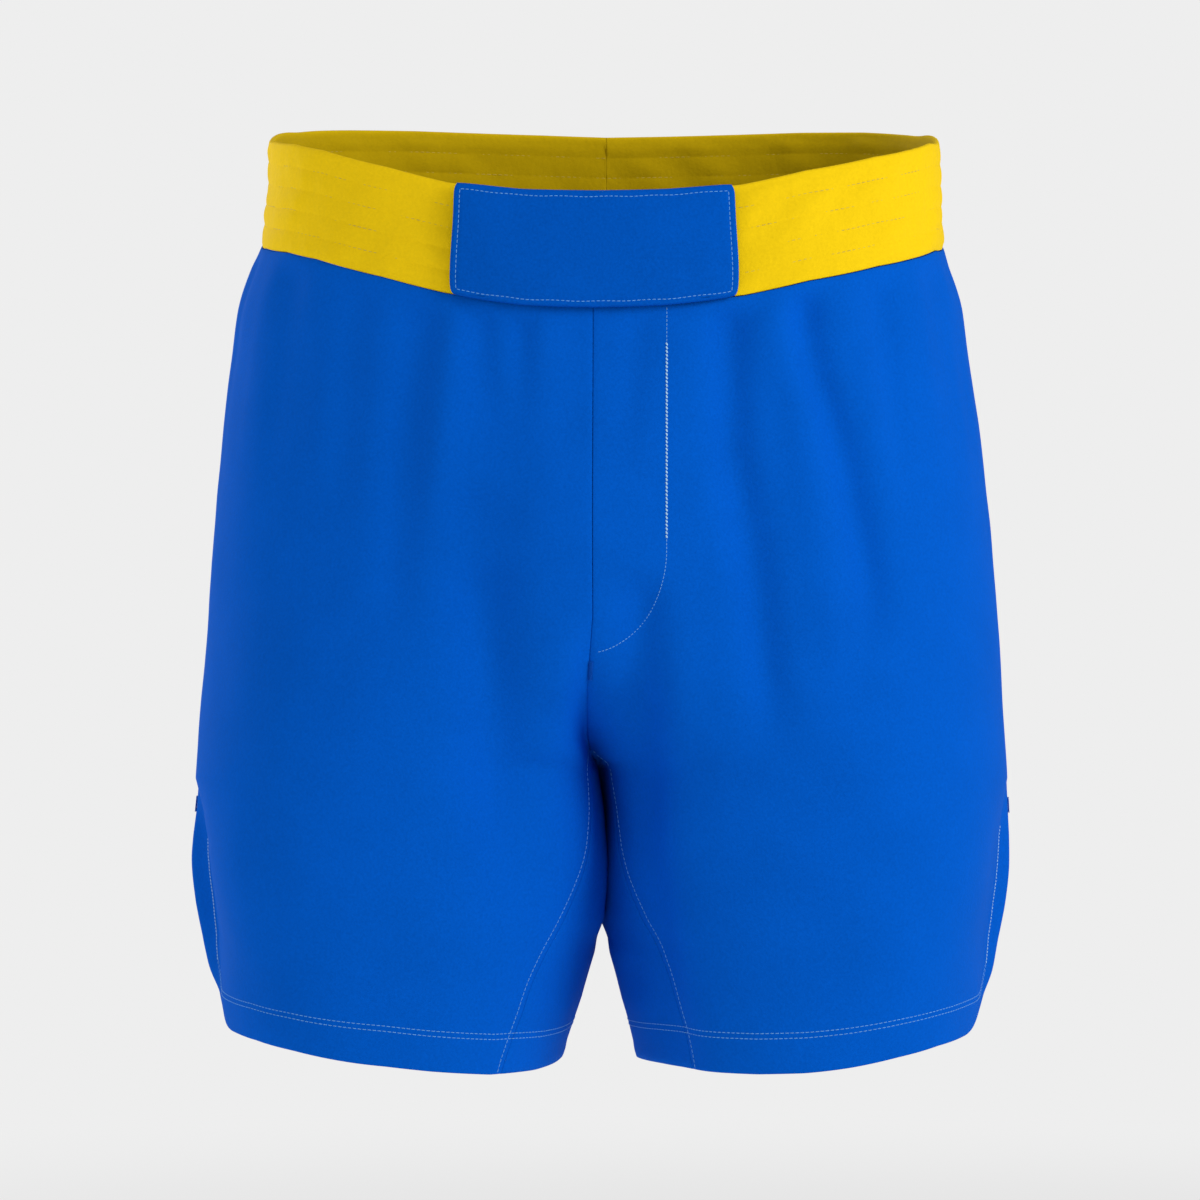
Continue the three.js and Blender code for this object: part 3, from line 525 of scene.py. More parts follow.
def folds(x, z, shapes):
    """How deep the folds are at places of the front or the seat."""
    total = 0
    for depth, width, run in shapes:
        xs, zs = np.array(run, float).T
        middle = np.interp(-z, -zs, xs)
        top, foot = zs[0], zs[-1]
        fade = smoothstep(z, foot - 35, foot + 20) * (1 - smoothstep(z, top - 8, top + 14))
        total = total - depth * fade * np.exp(-(((x - middle) / width) ** 2))
    return total


def drape(place):
    """How far the worn cloth stands off the surface, in millimetres."""
    p, level = place.point, place.level
    x, y, z = p[..., 0], p[..., 1], p[..., 2]
    right = place.side < 0
    front, back = smoothstep(-y, 10, 60), smoothstep(y, 10, 60)
    total = front * folds(x, z, FRONT_FOLDS) + back * folds(x, z, BACK_FOLDS)
    total = sizes().fold_depth * total * smoothstep(level, *FOLD_START)
    round_body = np.arctan2(x / 190, -y / 117) * 150
    ripple = np.stack([round_body, 0 * x, z / 7], -1)
    gather = sizes().gather_depth / MM * between(level, *GATHER_LEVELS)
    total = total + gather * soft_noise(ripple, 13.0, 0.4)
    loose = smoothstep(level, *LOOSE_START)
    total = total + 0.9 * loose * soft_noise(p, 46.0, 3.1) + 0.3 * loose * soft_noise(p, 17.0, 7.7)
    share = leg_share(level)
    inner = np.maximum(-np.cos(np.radians(place.angle)), 0) ** 1.5 * smoothstep(level, *INNER_START)
    apart = profile(level, 1) / (1 + share) * np.maximum(share - 1, 0)
    swell = apart - np.interp(level, THIGH_GAP_LEVELS, THIGH_GAP)
    swell = swell - np.interp(level, LEFT_GAP_LEVELS, LEFT_GAP) * (place.side > 0)
    steep, reach = CROSSING_REACH
    cross = CROSSING * -y / steep * np.exp(-((y / reach) ** 2)) * between(level, *CROSSING_LEVELS)
    total = total + inner * (swell - place.side * cross)
    edge = np.maximum(np.abs(place.angle) - SEAM_ANGLE - vent_angle(level), 0) * MM_PER_DEGREE
    lip = (1 - np.exp(-((edge / 7.0) ** 2))) * (1 - smoothstep(edge, 26, 95))
    lip = lip * np.where(right, *LIP_SHARES)
    flare = np.exp(-((edge / 6.0) ** 2)) * np.where(right, *FLARE_SHARES)
    total = total + np.interp(level, VENT_LIP_LEVELS, VENT_FLARE) * flare
    return total - np.interp(level, VENT_LIP_LEVELS, VENT_LIP) * lip


# ---- Meshes ----------------------------------------------------------------------------------


def sizes():
    return bpy.context.scene.shorts_sizes


def colours():
    return bpy.context.scene.shorts_colours


def map_cut(mesh, uvs):
    """Gives a mesh its map of the cut cloth, in millimetres, from a pair for each vertex."""
    corner = np.empty(len(mesh.loops), np.int32)
    mesh.loops.foreach_get("vertex_index", corner)
    layer = mesh.uv_layers.new(name="cut")
    layer.data.foreach_set("uv", np.asarray(uvs, np.float32)[corner].ravel())


def new_piece(name, verts, faces, uvs, material):
    """A smooth mesh object from points in millimetres."""
    mesh = bpy.data.meshes.new(name)
    mesh.from_pydata((np.asarray(verts) * MM).tolist(), [], faces)
    map_cut(mesh, uvs)
    mesh.polygons.foreach_set("use_smooth", np.ones(len(mesh.polygons), bool))
    mesh.materials.append(material)
    mesh.validate()
    piece = bpy.data.objects.new(name, mesh)
    bpy.context.scene.collection.objects.link(piece)
    return piece


def spaced(length, step, fine=(0.5, 1.1, 2.0), marks=()):
    """Shares from 0 to 1 along a length, closer together at the ends and beside the marks."""
    found = list(np.linspace(0, 1, max(int(round(length / step)), 1) + 1))
    found += [f / length for f in fine] + [1 - f / length for f in fine]
    for mark in marks:
        found += [mark + k / length for k in (-1.3, -0.6, 0, 0.6, 1.3)]
    found = sorted(f for f in found if 0 <= f <= 1)
    kept = [0.0]
    for f in found[1:-1]:
        if f - kept[-1] > 0.3 / length:
            kept.append(f)
    while 1 - kept[-1] < 0.3 / length:
        kept.pop()
    return np.array([*kept, 1.0])


def edge_distances(p):
    """For each grid point, how far it is along the cloth from the grid's four edges."""
    du = np.linalg.norm(np.diff(p, axis=1), axis=-1)
    dv = np.linalg.norm(np.diff(p, axis=0), axis=-1)
    u = np.concatenate([np.zeros((len(p), 1)), np.cumsum(du, 1)], 1)
    v = np.concatenate([np.zeros((1, p.shape[1])), np.cumsum(dv, 0)], 0)
    return {"west": u, "east": u[:, -1:] - u, "north": v, "south": v[-1:] - v}


# How far the rim of a free edge is rounded out.
FREE_BULGE = 0.3


def sheet_mesh(name, outer, inner, material, bulges=(0.1, 0.1, 0.1, 0.1)):
    """A closed sheet of cloth between two grids of points. Its rim is rounded out by the bulges,
    which are for its west, east, north and south edges."""
    rows, columns = outer.shape[:2]
    count = rows * columns
    index = np.arange(count).reshape(rows, columns)
    loop = np.concatenate([index[0, :-1], index[:-1, -1], index[-1, :0:-1], index[:0:-1, 0]])
    middle = (outer + inner) / 2
    away = np.zeros_like(middle)
    away[:, 0] += unit(middle[:, 0] - middle[:, 1]) * bulges[0]
    away[:, -1] += unit(middle[:, -1] - middle[:, -2]) * bulges[1]
    away[0] += unit(middle[0] - middle[1]) * bulges[2]
    away[-1] += unit(middle[-1] - middle[-2]) * bulges[3]
    rim = (middle + away).reshape(count, 3)[loop]
    verts = np.concatenate([outer.reshape(-1, 3), inner.reshape(-1, 3), rim])
    a, b, c, d = index[:-1, :-1], index[:-1, 1:], index[1:, 1:], index[1:, :-1]
    face = np.stack([a, b, c, d], -1).reshape(-1, 4)
    edge = np.arange(len(loop)) + 2 * count
    after, loop_after = np.roll(edge, -1), np.roll(loop, -1)
    faces = np.concatenate(
        [
            face,
            face[:, ::-1] + count,
            np.stack([loop, edge, after, loop_after], -1),
            np.stack([edge, loop + count, loop_after + count, after], -1),
        ]
    )
    corners = verts[faces]
    volume = (np.cross(corners[:, 0], corners[:, 1]) * corners[:, 2]).sum()
    volume += (np.cross(corners[:, 0], corners[:, 2]) * corners[:, 3]).sum()
    if volume < 0:
        faces = faces[:, ::-1]
    far = edge_distances(outer)
    across = far["west"] - far["west"][:, columns // 2, None]
    uv = np.stack([across, far["north"]], -1).reshape(-1, 2)
    uvs = np.concatenate([uv, uv, uv[loop]])
    return new_piece(name, verts, faces.tolist(), uvs, material)


# How far into a panel its centre seam draws the cloth, and the levels over which it lets go: at
# the gusset, and at the foot of the fly, above which the left front laps over.
MEETING_WIDTH = 5
MEETING_FADE = (GUSSET_LEVEL, GUSSET_LEVEL + 5)
MEETING_START = (FLY_BOTTOM_LEVEL, FLY_BOTTOM_LEVEL + 20)


def meet_at_middle(points, level, side, facing):
    """Draws a panel's west edge in to the middle, where the other leg's panel meets it."""
    level = level[:, 0]
    above = level < GUSSET_LEVEL
    shift = np.interp(level, CREASE_LEVELS, CREASE) + side * CENTRE_GAP / 2 - points[:, 0, 0]
    fading = shift[above][-1] * (1 - smoothstep(level, *MEETING_FADE))
    shift = np.where(above, shift, fading)
    if facing < 0:
        shift = shift * smoothstep(level, *MEETING_START)
    run = np.linalg.norm(points - points[:, :1], axis=-1)
    points[..., 0] += shift[:, None] * (1 - smoothstep(run, 0, MEETING_WIDTH))


def unlifted(grid):
    """For a sheet that lies flat on the surface, without the worn cloth's drape."""
    return 0.0 * grid.level


def cloth(
    name, a, b, place, outer, thickness, material, seams=(), free=(), lift=None, half=None
):
    """A sheet of cloth on the surface. Seam edges dip towards their stitching, free ones are
    rounded. A half is the side and facing of a panel whose west edge meets the other leg's."""
    grid = place(*np.meshgrid(a, b))
    far = edge_distances(grid.point)
    offset = outer + (lift or drape)(grid)
    for edge in seams:
        offset = offset - sizes().seam_dip / MM * np.exp(-((far[edge] / 1.2) ** 2))
    for edge in free:
        offset = offset - 0.3 * np.exp(-((far[edge] / 0.5) ** 2))
    top, bottom = grid.lifted(offset), grid.lifted(offset - thickness)
    if half:
        meet_at_middle(top, grid.level, *half)
        meet_at_middle(bottom, grid.level, *half)
    bulges = [FREE_BULGE if edge in free else 0.06 for edge in ("west", "east", "north", "south")]
    if half:
        bulges[0] = 0.0
    return sheet_mesh(name, top, bottom, material, bulges)


def thread_mesh(name, starts, ends, normals, material, slot, width, height, arch=0.3):
    """Short stitches of thread, each from a start to an end, that dip into the cloth at both."""
    shares = np.array([0.0, 0.1, 0.3, 0.5, 0.7, 0.9, 1.0])
    thick = np.array([0.25, 0.75, 1.0, 1.0, 1.0, 0.75, 0.25])
    sides = 6
    count, rings = len(starts), len(shares)
    along = unit(ends - starts)
    aside = unit(np.cross(along, normals))
    over = unit(np.cross(aside, along))
    over = over * np.sign((over * normals).sum(-1, keepdims=True))
    middle = starts[:, None] + (ends - starts)[:, None] * shares[None, :, None]
    sink = arch * (np.sqrt(np.sin(np.pi * np.clip(shares, 0.001, 0.999))) - 1)
    middle = middle + over[:, None] * sink[None, :, None]
    turn = np.arange(sides) * 2 * math.pi / sides
    ring = (
        aside[:, None, None] * (np.cos(turn) * width / 2)[None, None, :, None]
        + over[:, None, None] * (np.sin(turn) * height / 2)[None, None, :, None]
    )
    verts = (middle[:, :, None] + ring * thick[None, :, None, None]).reshape(-1, 3)
    k = np.arange(sides)
    strip = []
    for r in range(rings - 1):
        here, there = r * sides + k, (r + 1) * sides + k
        strip.append(np.stack([here, np.roll(here, -1), np.roll(there, -1), there], -1))
    strip = np.concatenate(strip)
    shift = np.arange(count) * rings * sides
    quads = (strip[None] + shift[:, None, None]).reshape(-1, 4)
    caps = [*(k[::-1] + s for s in shift), *(k + (rings - 1) * sides + s for s in shift)]
    length = np.linalg.norm(ends - starts, axis=-1)
    along_uv = np.broadcast_to((length[:, None] * shares)[:, :, None], (count, rings, sides))
    round_uv = np.broadcast_to(k / sides * 1.5, (count, rings, sides))
    uvs = np.stack([along_uv, round_uv], -1).reshape(-1, 2)
    faces = quads.tolist() + [c.tolist() for c in caps]
    corners = verts[quads[:, :3]]
    centre = middle.mean(1)[np.arange(count).repeat(len(strip))]
    face_normal = np.cross(corners[:, 1] - corners[:, 0], corners[:, 2] - corners[:, 0])
    if ((corners.mean(1) - centre) * face_normal).sum() < 0:
        faces = [f[::-1] for f in faces]
    return new_piece(name, verts, faces, uvs, material)


# How flat a thread lies: its height as a share of its width.
FLATNESS = 0.7


def stitch_route(point, normal, pitch, gap, slant=0.0):
    """Starts, ends and normals of even stitches along a line of points."""
    step = np.linalg.norm(np.diff(point, axis=0), axis=-1)
    run = np.concatenate([[0], np.cumsum(step)])
    count = max(int(round(run[-1] / pitch)), 1)
    pitch = run[-1] / count

    def at(s, values):
        return np.stack([np.interp(s, run, values[:, k]) for k in range(3)], -1)

    first = np.arange(count) * pitch + gap / 2
    last = first + pitch - gap
    starts, ends = at(first, point), at(last, point)
    normals = unit(at((first + last) / 2, normal))
    aside = unit(np.cross(ends - starts, normals)) * slant / 2
    return starts + aside, ends - aside, normals


def joined_routes(routes):
    """The starts, ends and normals of several rows of stitches as one."""
    return [np.concatenate(part) for part in zip(*routes, strict=True)]


def stitch_rows(name, routes, material, lift, pitch=None, slant=0.0, width=None):
    """One piece made of rows of stitches. Each route is a place along a line and its own lift."""
    pitch = pitch or sizes().stitch_length / MM
    width = width or sizes().thread_width / MM
    rows = []
    for place, extra in routes:
        point = place.lifted(lift + extra)
        rows.append(stitch_route(point, place.normal, pitch, sizes().stitch_gap / MM, slant))
    return thread_mesh(name, *joined_routes(rows), material, "body_thread", width, width * FLATNESS)


def bartack(name, place):
    """A close zigzag of thread over a short bar."""
    point = place.lifted(drape(place) + 0.15)
    start, end = point[0], point[-1]
    normal = unit(place.normal.mean(0))
    along = unit(end - start)
    aside = np.cross(normal, along) * BARTACK_WIDTH / 2
    count = 20
    t = np.linspace(0.03, 0.97, count)[:, None]
    centre = start + (end - start) * t
    starts = centre - aside
    ends = centre + aside + along * 0.25
    rails = np.stack([start + aside * k for k in (-0.5, 0.0, 0.5)])
    starts = np.concatenate([rails, starts])
    ends = np.concatenate([rails + (end - start), ends])
    normals = np.broadcast_to(normal, starts.shape)
    starts[len(rails) :] += normal * 0.3
    ends[len(rails) :] += normal * 0.3
    return thread_mesh(name, starts, ends, normals, tack_thread(), "body_thread", 0.5, 0.42, 0.25)


# ---- Finishes --------------------------------------------------------------------------------


def node_group(name, inputs, outputs):
    """A new shader group with named number inputs and number outputs."""
    group = bpy.data.node_groups.new(name, "ShaderNodeTree")
    for label, value in inputs:
        socket = group.interface.new_socket(label, in_out="INPUT", socket_type="NodeSocketFloat")
        socket.default_value = value
    for label in outputs:
        group.interface.new_socket(label, in_out="OUTPUT", socket_type="NodeSocketFloat")
    return group, group.nodes.new("NodeGroupInput"), group.nodes.new("NodeGroupOutput")


def math_node(tree, operation, first, second=None):
    node = tree.nodes.new("ShaderNodeMath")
    node.operation = operation
    for socket, value in zip(node.inputs, (first, second), strict=False):
        if value is None:
            continue
        if isinstance(value, (int, float)):
            socket.default_value = value
        else:
            tree.links.new(value, socket)
    return node.outputs[0]


def noise_node(tree, vector, scale, detail=2.0, rough=0.5):
    node = tree.nodes.new("ShaderNodeTexNoise")
    node.inputs["Detail"].default_value = detail
    node.inputs["Roughness"].default_value = rough
    tree.links.new(vector, node.inputs["Vector"])
    if isinstance(scale, (int, float)):
        node.inputs["Scale"].default_value = scale
    else:
        tree.links.new(scale, node.inputs["Scale"])
    return node.outputs["Fac"]


def cut_axes(tree):
    """Where a point lies on the cut cloth: across and down, in millimetres."""
    cut = tree.nodes.new("ShaderNodeUVMap")
    cut.uv_map = "cut"
    split = tree.nodes.new("ShaderNodeSeparateXYZ")
    tree.links.new(cut.outputs["UV"], split.inputs[0])
    return split.outputs["X"], split.outputs["Y"]


def weave_group():
    """Plain weave with slubs: a height, a fine grain and slow uneven shading, all from 0 to 1."""
    name = "plain_weave"
    if name in bpy.data.node_groups:
        return bpy.data.node_groups[name]
    group, given, out = node_group(
        name,
        [("Thread Spacing", 0.5), ("Grain Size", 1.5), ("Cloud Size", 30.0)],
        ["Height", "Grain", "Cloud"],
    )
    across, down = cut_axes(group)
    turn = math_node(group, "DIVIDE", math.pi, given.outputs["Thread Spacing"])
    warp = math_node(group, "SINE", math_node(group, "MULTIPLY", across, turn))
    weft = math_node(group, "SINE", math_node(group, "MULTIPLY", down, turn))
    checks = math_node(group, "MULTIPLY", warp, weft)
    weave = math_node(group, "MULTIPLY_ADD", checks, 0.5)
    weave.node.inputs[2].default_value = 0.5
    body = group.nodes.new("ShaderNodeTexCoord").outputs["Object"]
    fine = math_node(group, "DIVIDE", 1000.0, given.outputs["Grain Size"])
    slow = math_node(group, "DIVIDE", 1000.0, given.outputs["Cloud Size"])
    grain = noise_node(group, body, fine, 2.0, 0.6)
    group.links.new(weave, out.inputs["Height"])
    group.links.new(grain, out.inputs["Grain"])
    group.links.new(noise_node(group, body, slow, 3.0, 0.5), out.inputs["Cloud"])
    return group


def pucker_group():
    """Small puckers that stand across the waistband's rows of stitching."""
    name = "elastic_puckers"
    if name in bpy.data.node_groups:
        return bpy.data.node_groups[name]
    group, given, out = node_group(name, [("Spacing", 6.0), ("Length", 14.0)], ["Height"])
    across, down = cut_axes(group)
    join = group.nodes.new("ShaderNodeCombineXYZ")
    across = math_node(group, "DIVIDE", across, given.outputs["Spacing"])
    down = math_node(group, "DIVIDE", down, given.outputs["Length"])
    group.links.new(across, join.inputs["X"])
    group.links.new(down, join.inputs["Y"])
    group.links.new(noise_node(group, join.outputs[0], 1.0, 2.0, 0.5), out.inputs["Height"])
    return group


def placed(tree, group, **values):
    node = tree.nodes.new("ShaderNodeGroup")
    node.node_tree = group
    for label, value in values.items():
        node.inputs[label.replace("_", " ")].default_value = value
    return node


def shade(tree, colour, factor, spread):
    """A colour that goes from darker to lighter by spread as factor goes from 0 to 1."""
    ramp = tree.nodes.new("ShaderNodeValToRGB")
    ramp.color_ramp.elements[0].color = [c * (1 - spread) for c in colour[:3]] + [1]
    ramp.color_ramp.elements[1].color = [min(c * (1 + spread), 1) for c in colour[:3]] + [1]
    ramp.color_ramp.elements[0].position, ramp.color_ramp.elements[1].position = 0.3, 0.7
    tree.links.new(factor, ramp.inputs[0])
    return ramp.outputs[0]


def scaled(tree, value, low, high):
    node = tree.nodes.new("ShaderNodeMapRange")
    node.inputs["To Min"].default_value = low
    node.inputs["To Max"].default_value = high
    tree.links.new(value, node.inputs["Value"])
    return node.outputs[0]


def bumped(tree, shader, height, depth, strength, before=None):
    bump = tree.nodes.new("ShaderNodeBump")
    bump.inputs["Strength"].default_value = strength
    bump.inputs["Distance"].default_value = depth * MM
    tree.links.new(height, bump.inputs["Height"])
    if before:
        tree.links.new(before, bump.inputs["Normal"])
    tree.links.new(bump.outputs[0], shader.inputs["Normal"])
    return bump.outputs[0]


def painted_inside_shade(tree, outside, inside, length):
    """One colour up to a length along the cut cloth and another beyond it, used to paint shade on
    the casing's inside.
    """
    _, down = cut_axes(tree)
    part = tree.nodes.new("ShaderNodeMapRange")
    part.interpolation_type = "SMOOTHSTEP"
    part.inputs["From Min"].default_value = length - 2
    part.inputs["From Max"].default_value = length + 5
    tree.links.new(down, part.inputs["Value"])
    mix = tree.nodes.new("ShaderNodeMix")
    mix.data_type = "RGBA"
    tree.links.new(part.outputs[0], mix.inputs["Factor"])
    tree.links.new(outside, mix.inputs[6])
    tree.links.new(inside, mix.inputs[7])
    return mix.outputs[2]


def finish_material(name, tint, sheen=0.0, specular=0.2):
    """A new material and its shader, whose sheen and gloss take the tint of the dye."""
    material = bpy.data.materials.new(name)
    material.use_nodes = True
    shader = material.node_tree.nodes["Principled BSDF"]
    shader.inputs["Sheen Weight"].default_value = sheen
    shader.inputs["Sheen Roughness"].default_value = 0.5
    shader.inputs["Sheen Tint"].default_value = (*tint, 1)
    shader.inputs["Specular IOR Level"].default_value = specular
    shader.inputs["Specular Tint"].default_value = (*tint, 1)
    return material, material.node_tree, shader


def woven_material(
    name, colour, spacing, grain, sheen, rough, mottle, puckers=0.0, specular=0.05, turned=0.0
):
    """Woven cloth: weave and grain in the bump, uneven shade in the colour and the gloss. Beyond
    the turned length along the cut the colour is darkened to 0.62, as painted shade inside the
    casing."""
    if name in bpy.data.materials:
        return bpy.data.materials[name]
    material, tree, shader = finish_material(name, colour, sheen, specular)
    weave = placed(tree, weave_group(), Thread_Spacing=spacing, Grain_Size=grain, Cloud_Size=34.0)
    fine = math_node(tree, "MULTIPLY", weave.outputs["Grain"], 0.7)
    mixed = math_node(tree, "ADD", fine, math_node(tree, "MULTIPLY", weave.outputs["Cloud"], 0.3))
    shown = shade(tree, colour, mixed, mottle)
    if turned:
        # Painted shade: a darker copy of the colour for the casing's inside face, where the
        # waistband shades it.
        inside = shade(tree, [c * 0.62 for c in colour], mixed, mottle)
        shown = painted_inside_shade(tree, shown, inside, turned)
    tree.links.new(shown, shader.inputs["Base Color"])
    worn = scaled(tree, weave.outputs["Grain"], rough - 0.08, rough + 0.08)
    tree.links.new(worn, shader.inputs["Roughness"])
    normal = bumped(tree, shader, weave.outputs["Height"], 0.05, 0.5)
    normal = bumped(tree, shader, weave.outputs["Grain"], 0.25, 0.6, normal)
    if puckers:
        pucker = placed(tree, pucker_group(), Spacing=7.0, Length=13.0)
        bumped(tree, shader, pucker.outputs["Height"], puckers, 0.8, normal)
    return material


def thread_material(name, colour):
    """Spun thread with its ply twisted round it."""
    if name in bpy.data.materials:
        return bpy.data.materials[name]
    material, tree, shader = finish_material(name, colour, 0.2)
    twist = math_node(tree, "ADD", *cut_axes(tree))
    ply = math_node(tree, "SINE", math_node(tree, "MULTIPLY", twist, 2 * math.pi / 0.75))
    ply = scaled(tree, math_node(tree, "ABSOLUTE", ply), 0.0, 1.0)
    tree.links.new(shade(tree, colour, ply, 0.18), shader.inputs["Base Color"])
    tree.links.new(scaled(tree, ply, 0.7, 0.5), shader.inputs["Roughness"])
    bumped(tree, shader, ply, 0.06, 0.6)
    return material


def tape_material():
    """Hook and loop tape: a dense pile."""
    name = "hook_and_loop"
    if name in bpy.data.materials:
        return bpy.data.materials[name]
    material, tree, shader = finish_material(name, colours().tape, 0.4)
    body = tree.nodes.new("ShaderNodeTexCoord").outputs["Object"]
    cells = tree.nodes.new("ShaderNodeTexVoronoi")
    cells.inputs["Scale"].default_value = 900.0
    tree.links.new(body, cells.inputs["Vector"])
    pile = cells.outputs["Distance"]
    tree.links.new(shade(tree, colours().tape, pile, 0.4), shader.inputs["Base Color"])
    tree.links.new(scaled(tree, pile, 0.8, 1.0), shader.inputs["Roughness"])
    bumped(tree, shader, pile, 0.4, 0.9)
    return material


def elastic_material():
    """Ribbed woven elastic."""
    name = "ribbed_elastic"
    if name in bpy.data.materials:
        return bpy.data.materials[name]
    material, tree, shader = finish_material(name, colours().elastic, 0.1)
    _, down = cut_axes(tree)
    rib = math_node(tree, "SINE", math_node(tree, "MULTIPLY", down, 2 * math.pi / 1.6))
    rib = scaled(tree, math_node(tree, "ABSOLUTE", rib), 0.0, 1.0)
    tree.links.new(shade(tree, colours().elastic, rib, 0.12), shader.inputs["Base Color"])
    tree.links.new(scaled(tree, rib, 0.9, 0.75), shader.inputs["Roughness"])
    bumped(tree, shader, rib, 0.3, 0.8)
    return material


def body_cloth():
    return woven_material("blue_microfibre", colours().body, 0.45, 1.3, 0.03, 0.86, 0.10)


def band_cloth():
    return woven_material(
        "gold_casing_cloth", colours().waistband, 0.4, 1.6, 0.05, 0.76, 0.05,
        # Beyond 54 mm along the cut, on the casing's inside, the colour carries painted shade.
        puckers=0.6, specular=0.08, turned=54.0,
    )


def flap_cloth():
    # Painted shade: the flap's shell is a darker copy of the body colour, standing in for the shade
    # the flap sits in.
    flap_painted_shade = [c * 0.88 for c in colours().body]
    return woven_material("blue_flap_cloth", flap_painted_shade, 0.45, 1.3, 0.03, 0.86, 0.12)


def body_thread():
    return thread_material("pale_thread", colours().body_thread)


def hem_thread():
    return thread_material("light_blue_thread", colours().hem_thread)


def tack_thread():
    return thread_material("blue_thread", colours().tack_thread)


def band_thread():
    return thread_material("gold_thread", colours().waistband_thread)


# ---- Fold lines, with the pieces baked in place ----------------------------------------------

# The fly folds about a slanted line, given by the frame's fly_fold joint.
FLY_FOLD = next(j for j in frame["joints"] if j["name"] == "fly_fold")


def bend_at_fly(piece):
    """Bakes the piece's place into its mesh. The fold line's axis and the way in from it are worked
    out, but the piece is not turned with the lapel.
    """
    axis = Vector(FLY_FOLD["axis"]).normalized()
    inward = Vector((0, -1, 0)).cross(axis)
    if inward.x > 0:
        inward.negate()
    inward = (inward + Vector((0, -0.55, 0))).normalized()
    inward = (inward - axis * inward.dot(axis)).normalized()
    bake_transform(piece)


def bend_at_flap(piece):
    """Bakes the piece's place into its mesh; it is not turned with the flap."""
    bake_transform(piece)


# ---- Operators -------------------------------------------------------------------------------


def panel_lines():
    """The shares across and down a panel where its grid lines run."""
    columns = spaced(PANEL_WIDTH, GRID, marks=(GUSSET_STITCH_LINE, VENT_FACING_LINE))
    upper = NEEDLE_SPACING / PANEL_HEIGHT
    rows = spaced(PANEL_HEIGHT, GRID, marks=(HEM_LINE, HEM_LINE - upper))
    return columns, rows


def gusset_columns():
    return spaced(GUSSET_WIDTH, GRID) * 2 - 1


class SHORTS_OT_panels(Operator):
    """Makes the front and back panel of each leg"""

    bl_idname = "shorts.panels"
    bl_label = "Leg Panels"

    def execute(self, context):
        columns, rows = panel_lines()
        for side_name, side in SIDES:
            for facing_name, facing in FACINGS:
                name = f"{facing_name}_panel_{side_name}"
                panel = cloth(
                    f"{name}_cloth", columns, rows, on_panel(side, facing), 0.0, BODY_CLOTH,
                    body_cloth(), seams=("west", "east", "north"), free=("south",),
                    half=(side, facing),
                )
                if name == "front_panel_left":
                    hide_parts(name, "fly_lapel_panel")
                    bend_at_fly(panel)
                else:
                    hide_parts(name)
                    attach(panel, "root")
        return {"FINISHED"}


class SHORTS_OT_gusset(Operator):
    """Makes the gusset that runs from hem to hem over the crotch"""

    bl_idname = "shorts.gusset"
    bl_label = "Inner Thigh Gusset"

    def execute(self, context):
        half = spaced(HEM_LEVEL - GUSSET_LEVEL, GRID, fine=())
        rows = np.concatenate([-half[:0:-1], half])
        gusset = cloth(
            "gusset_cloth", gusset_columns(), rows, on_gusset, 0.0, BODY_CLOTH, body_cloth(),
            seams=("west", "east"), free=("north", "south"),
        )
        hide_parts("inner_thigh_gusset")
        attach(gusset, "root")
        return {"FINISHED"}


class SHORTS_OT_hem_facings(Operator):
    """Makes the turned-up cloth inside the hems and vents"""

    bl_idname = "shorts.hem_facings"
    bl_label = "Hem and Vent Facings"

    def execute(self, context):
        columns, _ = panel_lines()
        hem_rows = lerp(HEM_LINE, 1.0, spaced(HEM_FACING, 2.4))
        vent_columns = lerp(VENT_FACING_LINE, 1.0, spaced(VENT_FACING, 2.0))
        vent_rows = lerp(VENT_LINE, HEM_LINE - SEAM_GAP / PANEL_HEIGHT, spaced(VENT_HEIGHT, GRID))
        half = (HEM_LEVEL - HEM_FACING - GUSSET_LEVEL) / (HEM_LEVEL - GUSSET_LEVEL)
        for side_name, side in SIDES:
            for facing_name, facing in FACINGS:
                place = on_panel(side, facing)
                for kind, a, b in (("hem", columns, hem_rows), ("vent", vent_columns, vent_rows)):
                    node = f"{kind}_facing_{facing_name}_{side_name}"
                    piece = cloth(
                        f"{node}_cloth", a, b, place, FACING_OUTER, FACING_CLOTH, body_cloth(),
                        free=("south",),
                    )
                    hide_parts(node)
                    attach(piece, "root")
            rows = np.sort(side * lerp(half, 1.0, spaced(HEM_FACING, 2.4)))
            piece = cloth(
                f"hem_facing_gusset_{side_name}_cloth", gusset_columns(), rows, on_gusset,
                FACING_OUTER, FACING_CLOTH, body_cloth(), free=("south",),
            )
            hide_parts(f"hem_facing_gusset_{side_name}")
            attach(piece, "root")
        return {"FINISHED"}


CHANNEL = BAND_HEIGHT / (STITCH_ROWS + 1)
# The casing's fold is tight at the top edge and opens out to hold the elastic below it.
FOLD_RADIUS = (CASING_CLOTH + ELASTIC + 2 * SEAM_GAP) / 2
TOP_FOLD_RADIUS = 0.8
CASING_STRAIGHT = BAND_HEIGHT - TOP_FOLD_RADIUS
CASING_ARC = math.pi * TOP_FOLD_RADIUS
# The elastic's upper and lower edge, and the waistband's thread: width, pitch and gap.
ELASTIC_LEVELS = (7.0, 51)
BAND_THREAD = 0.42
BAND_PITCH = 3.0
BAND_STITCH_GAP = 0.5


def channel_puff(level):
    """How full the casing stands between its rows of stitching, from 0 to 1."""
    part = np.mod(level / CHANNEL, 1.0)
    return 1 - np.abs(2 * part - 1) ** 2.2


def band_pucker(place):
    """Uneven fullness of the gathered casing, in millimetres."""
    p = place.point
    around = np.arctan2(p[..., 0] / 169, -p[..., 1] / 110) * 140
    slant = around + 0.5 * place.level
    slow = soft_noise(np.stack([slant, 0 * around, place.level * 0.7], -1), 14.0, 2.2)
    quick = soft_noise(np.stack([around, 0 * around, place.level * 0.5], -1), 5.0, 5.0)
    return slow * 0.85 + quick * 0.16


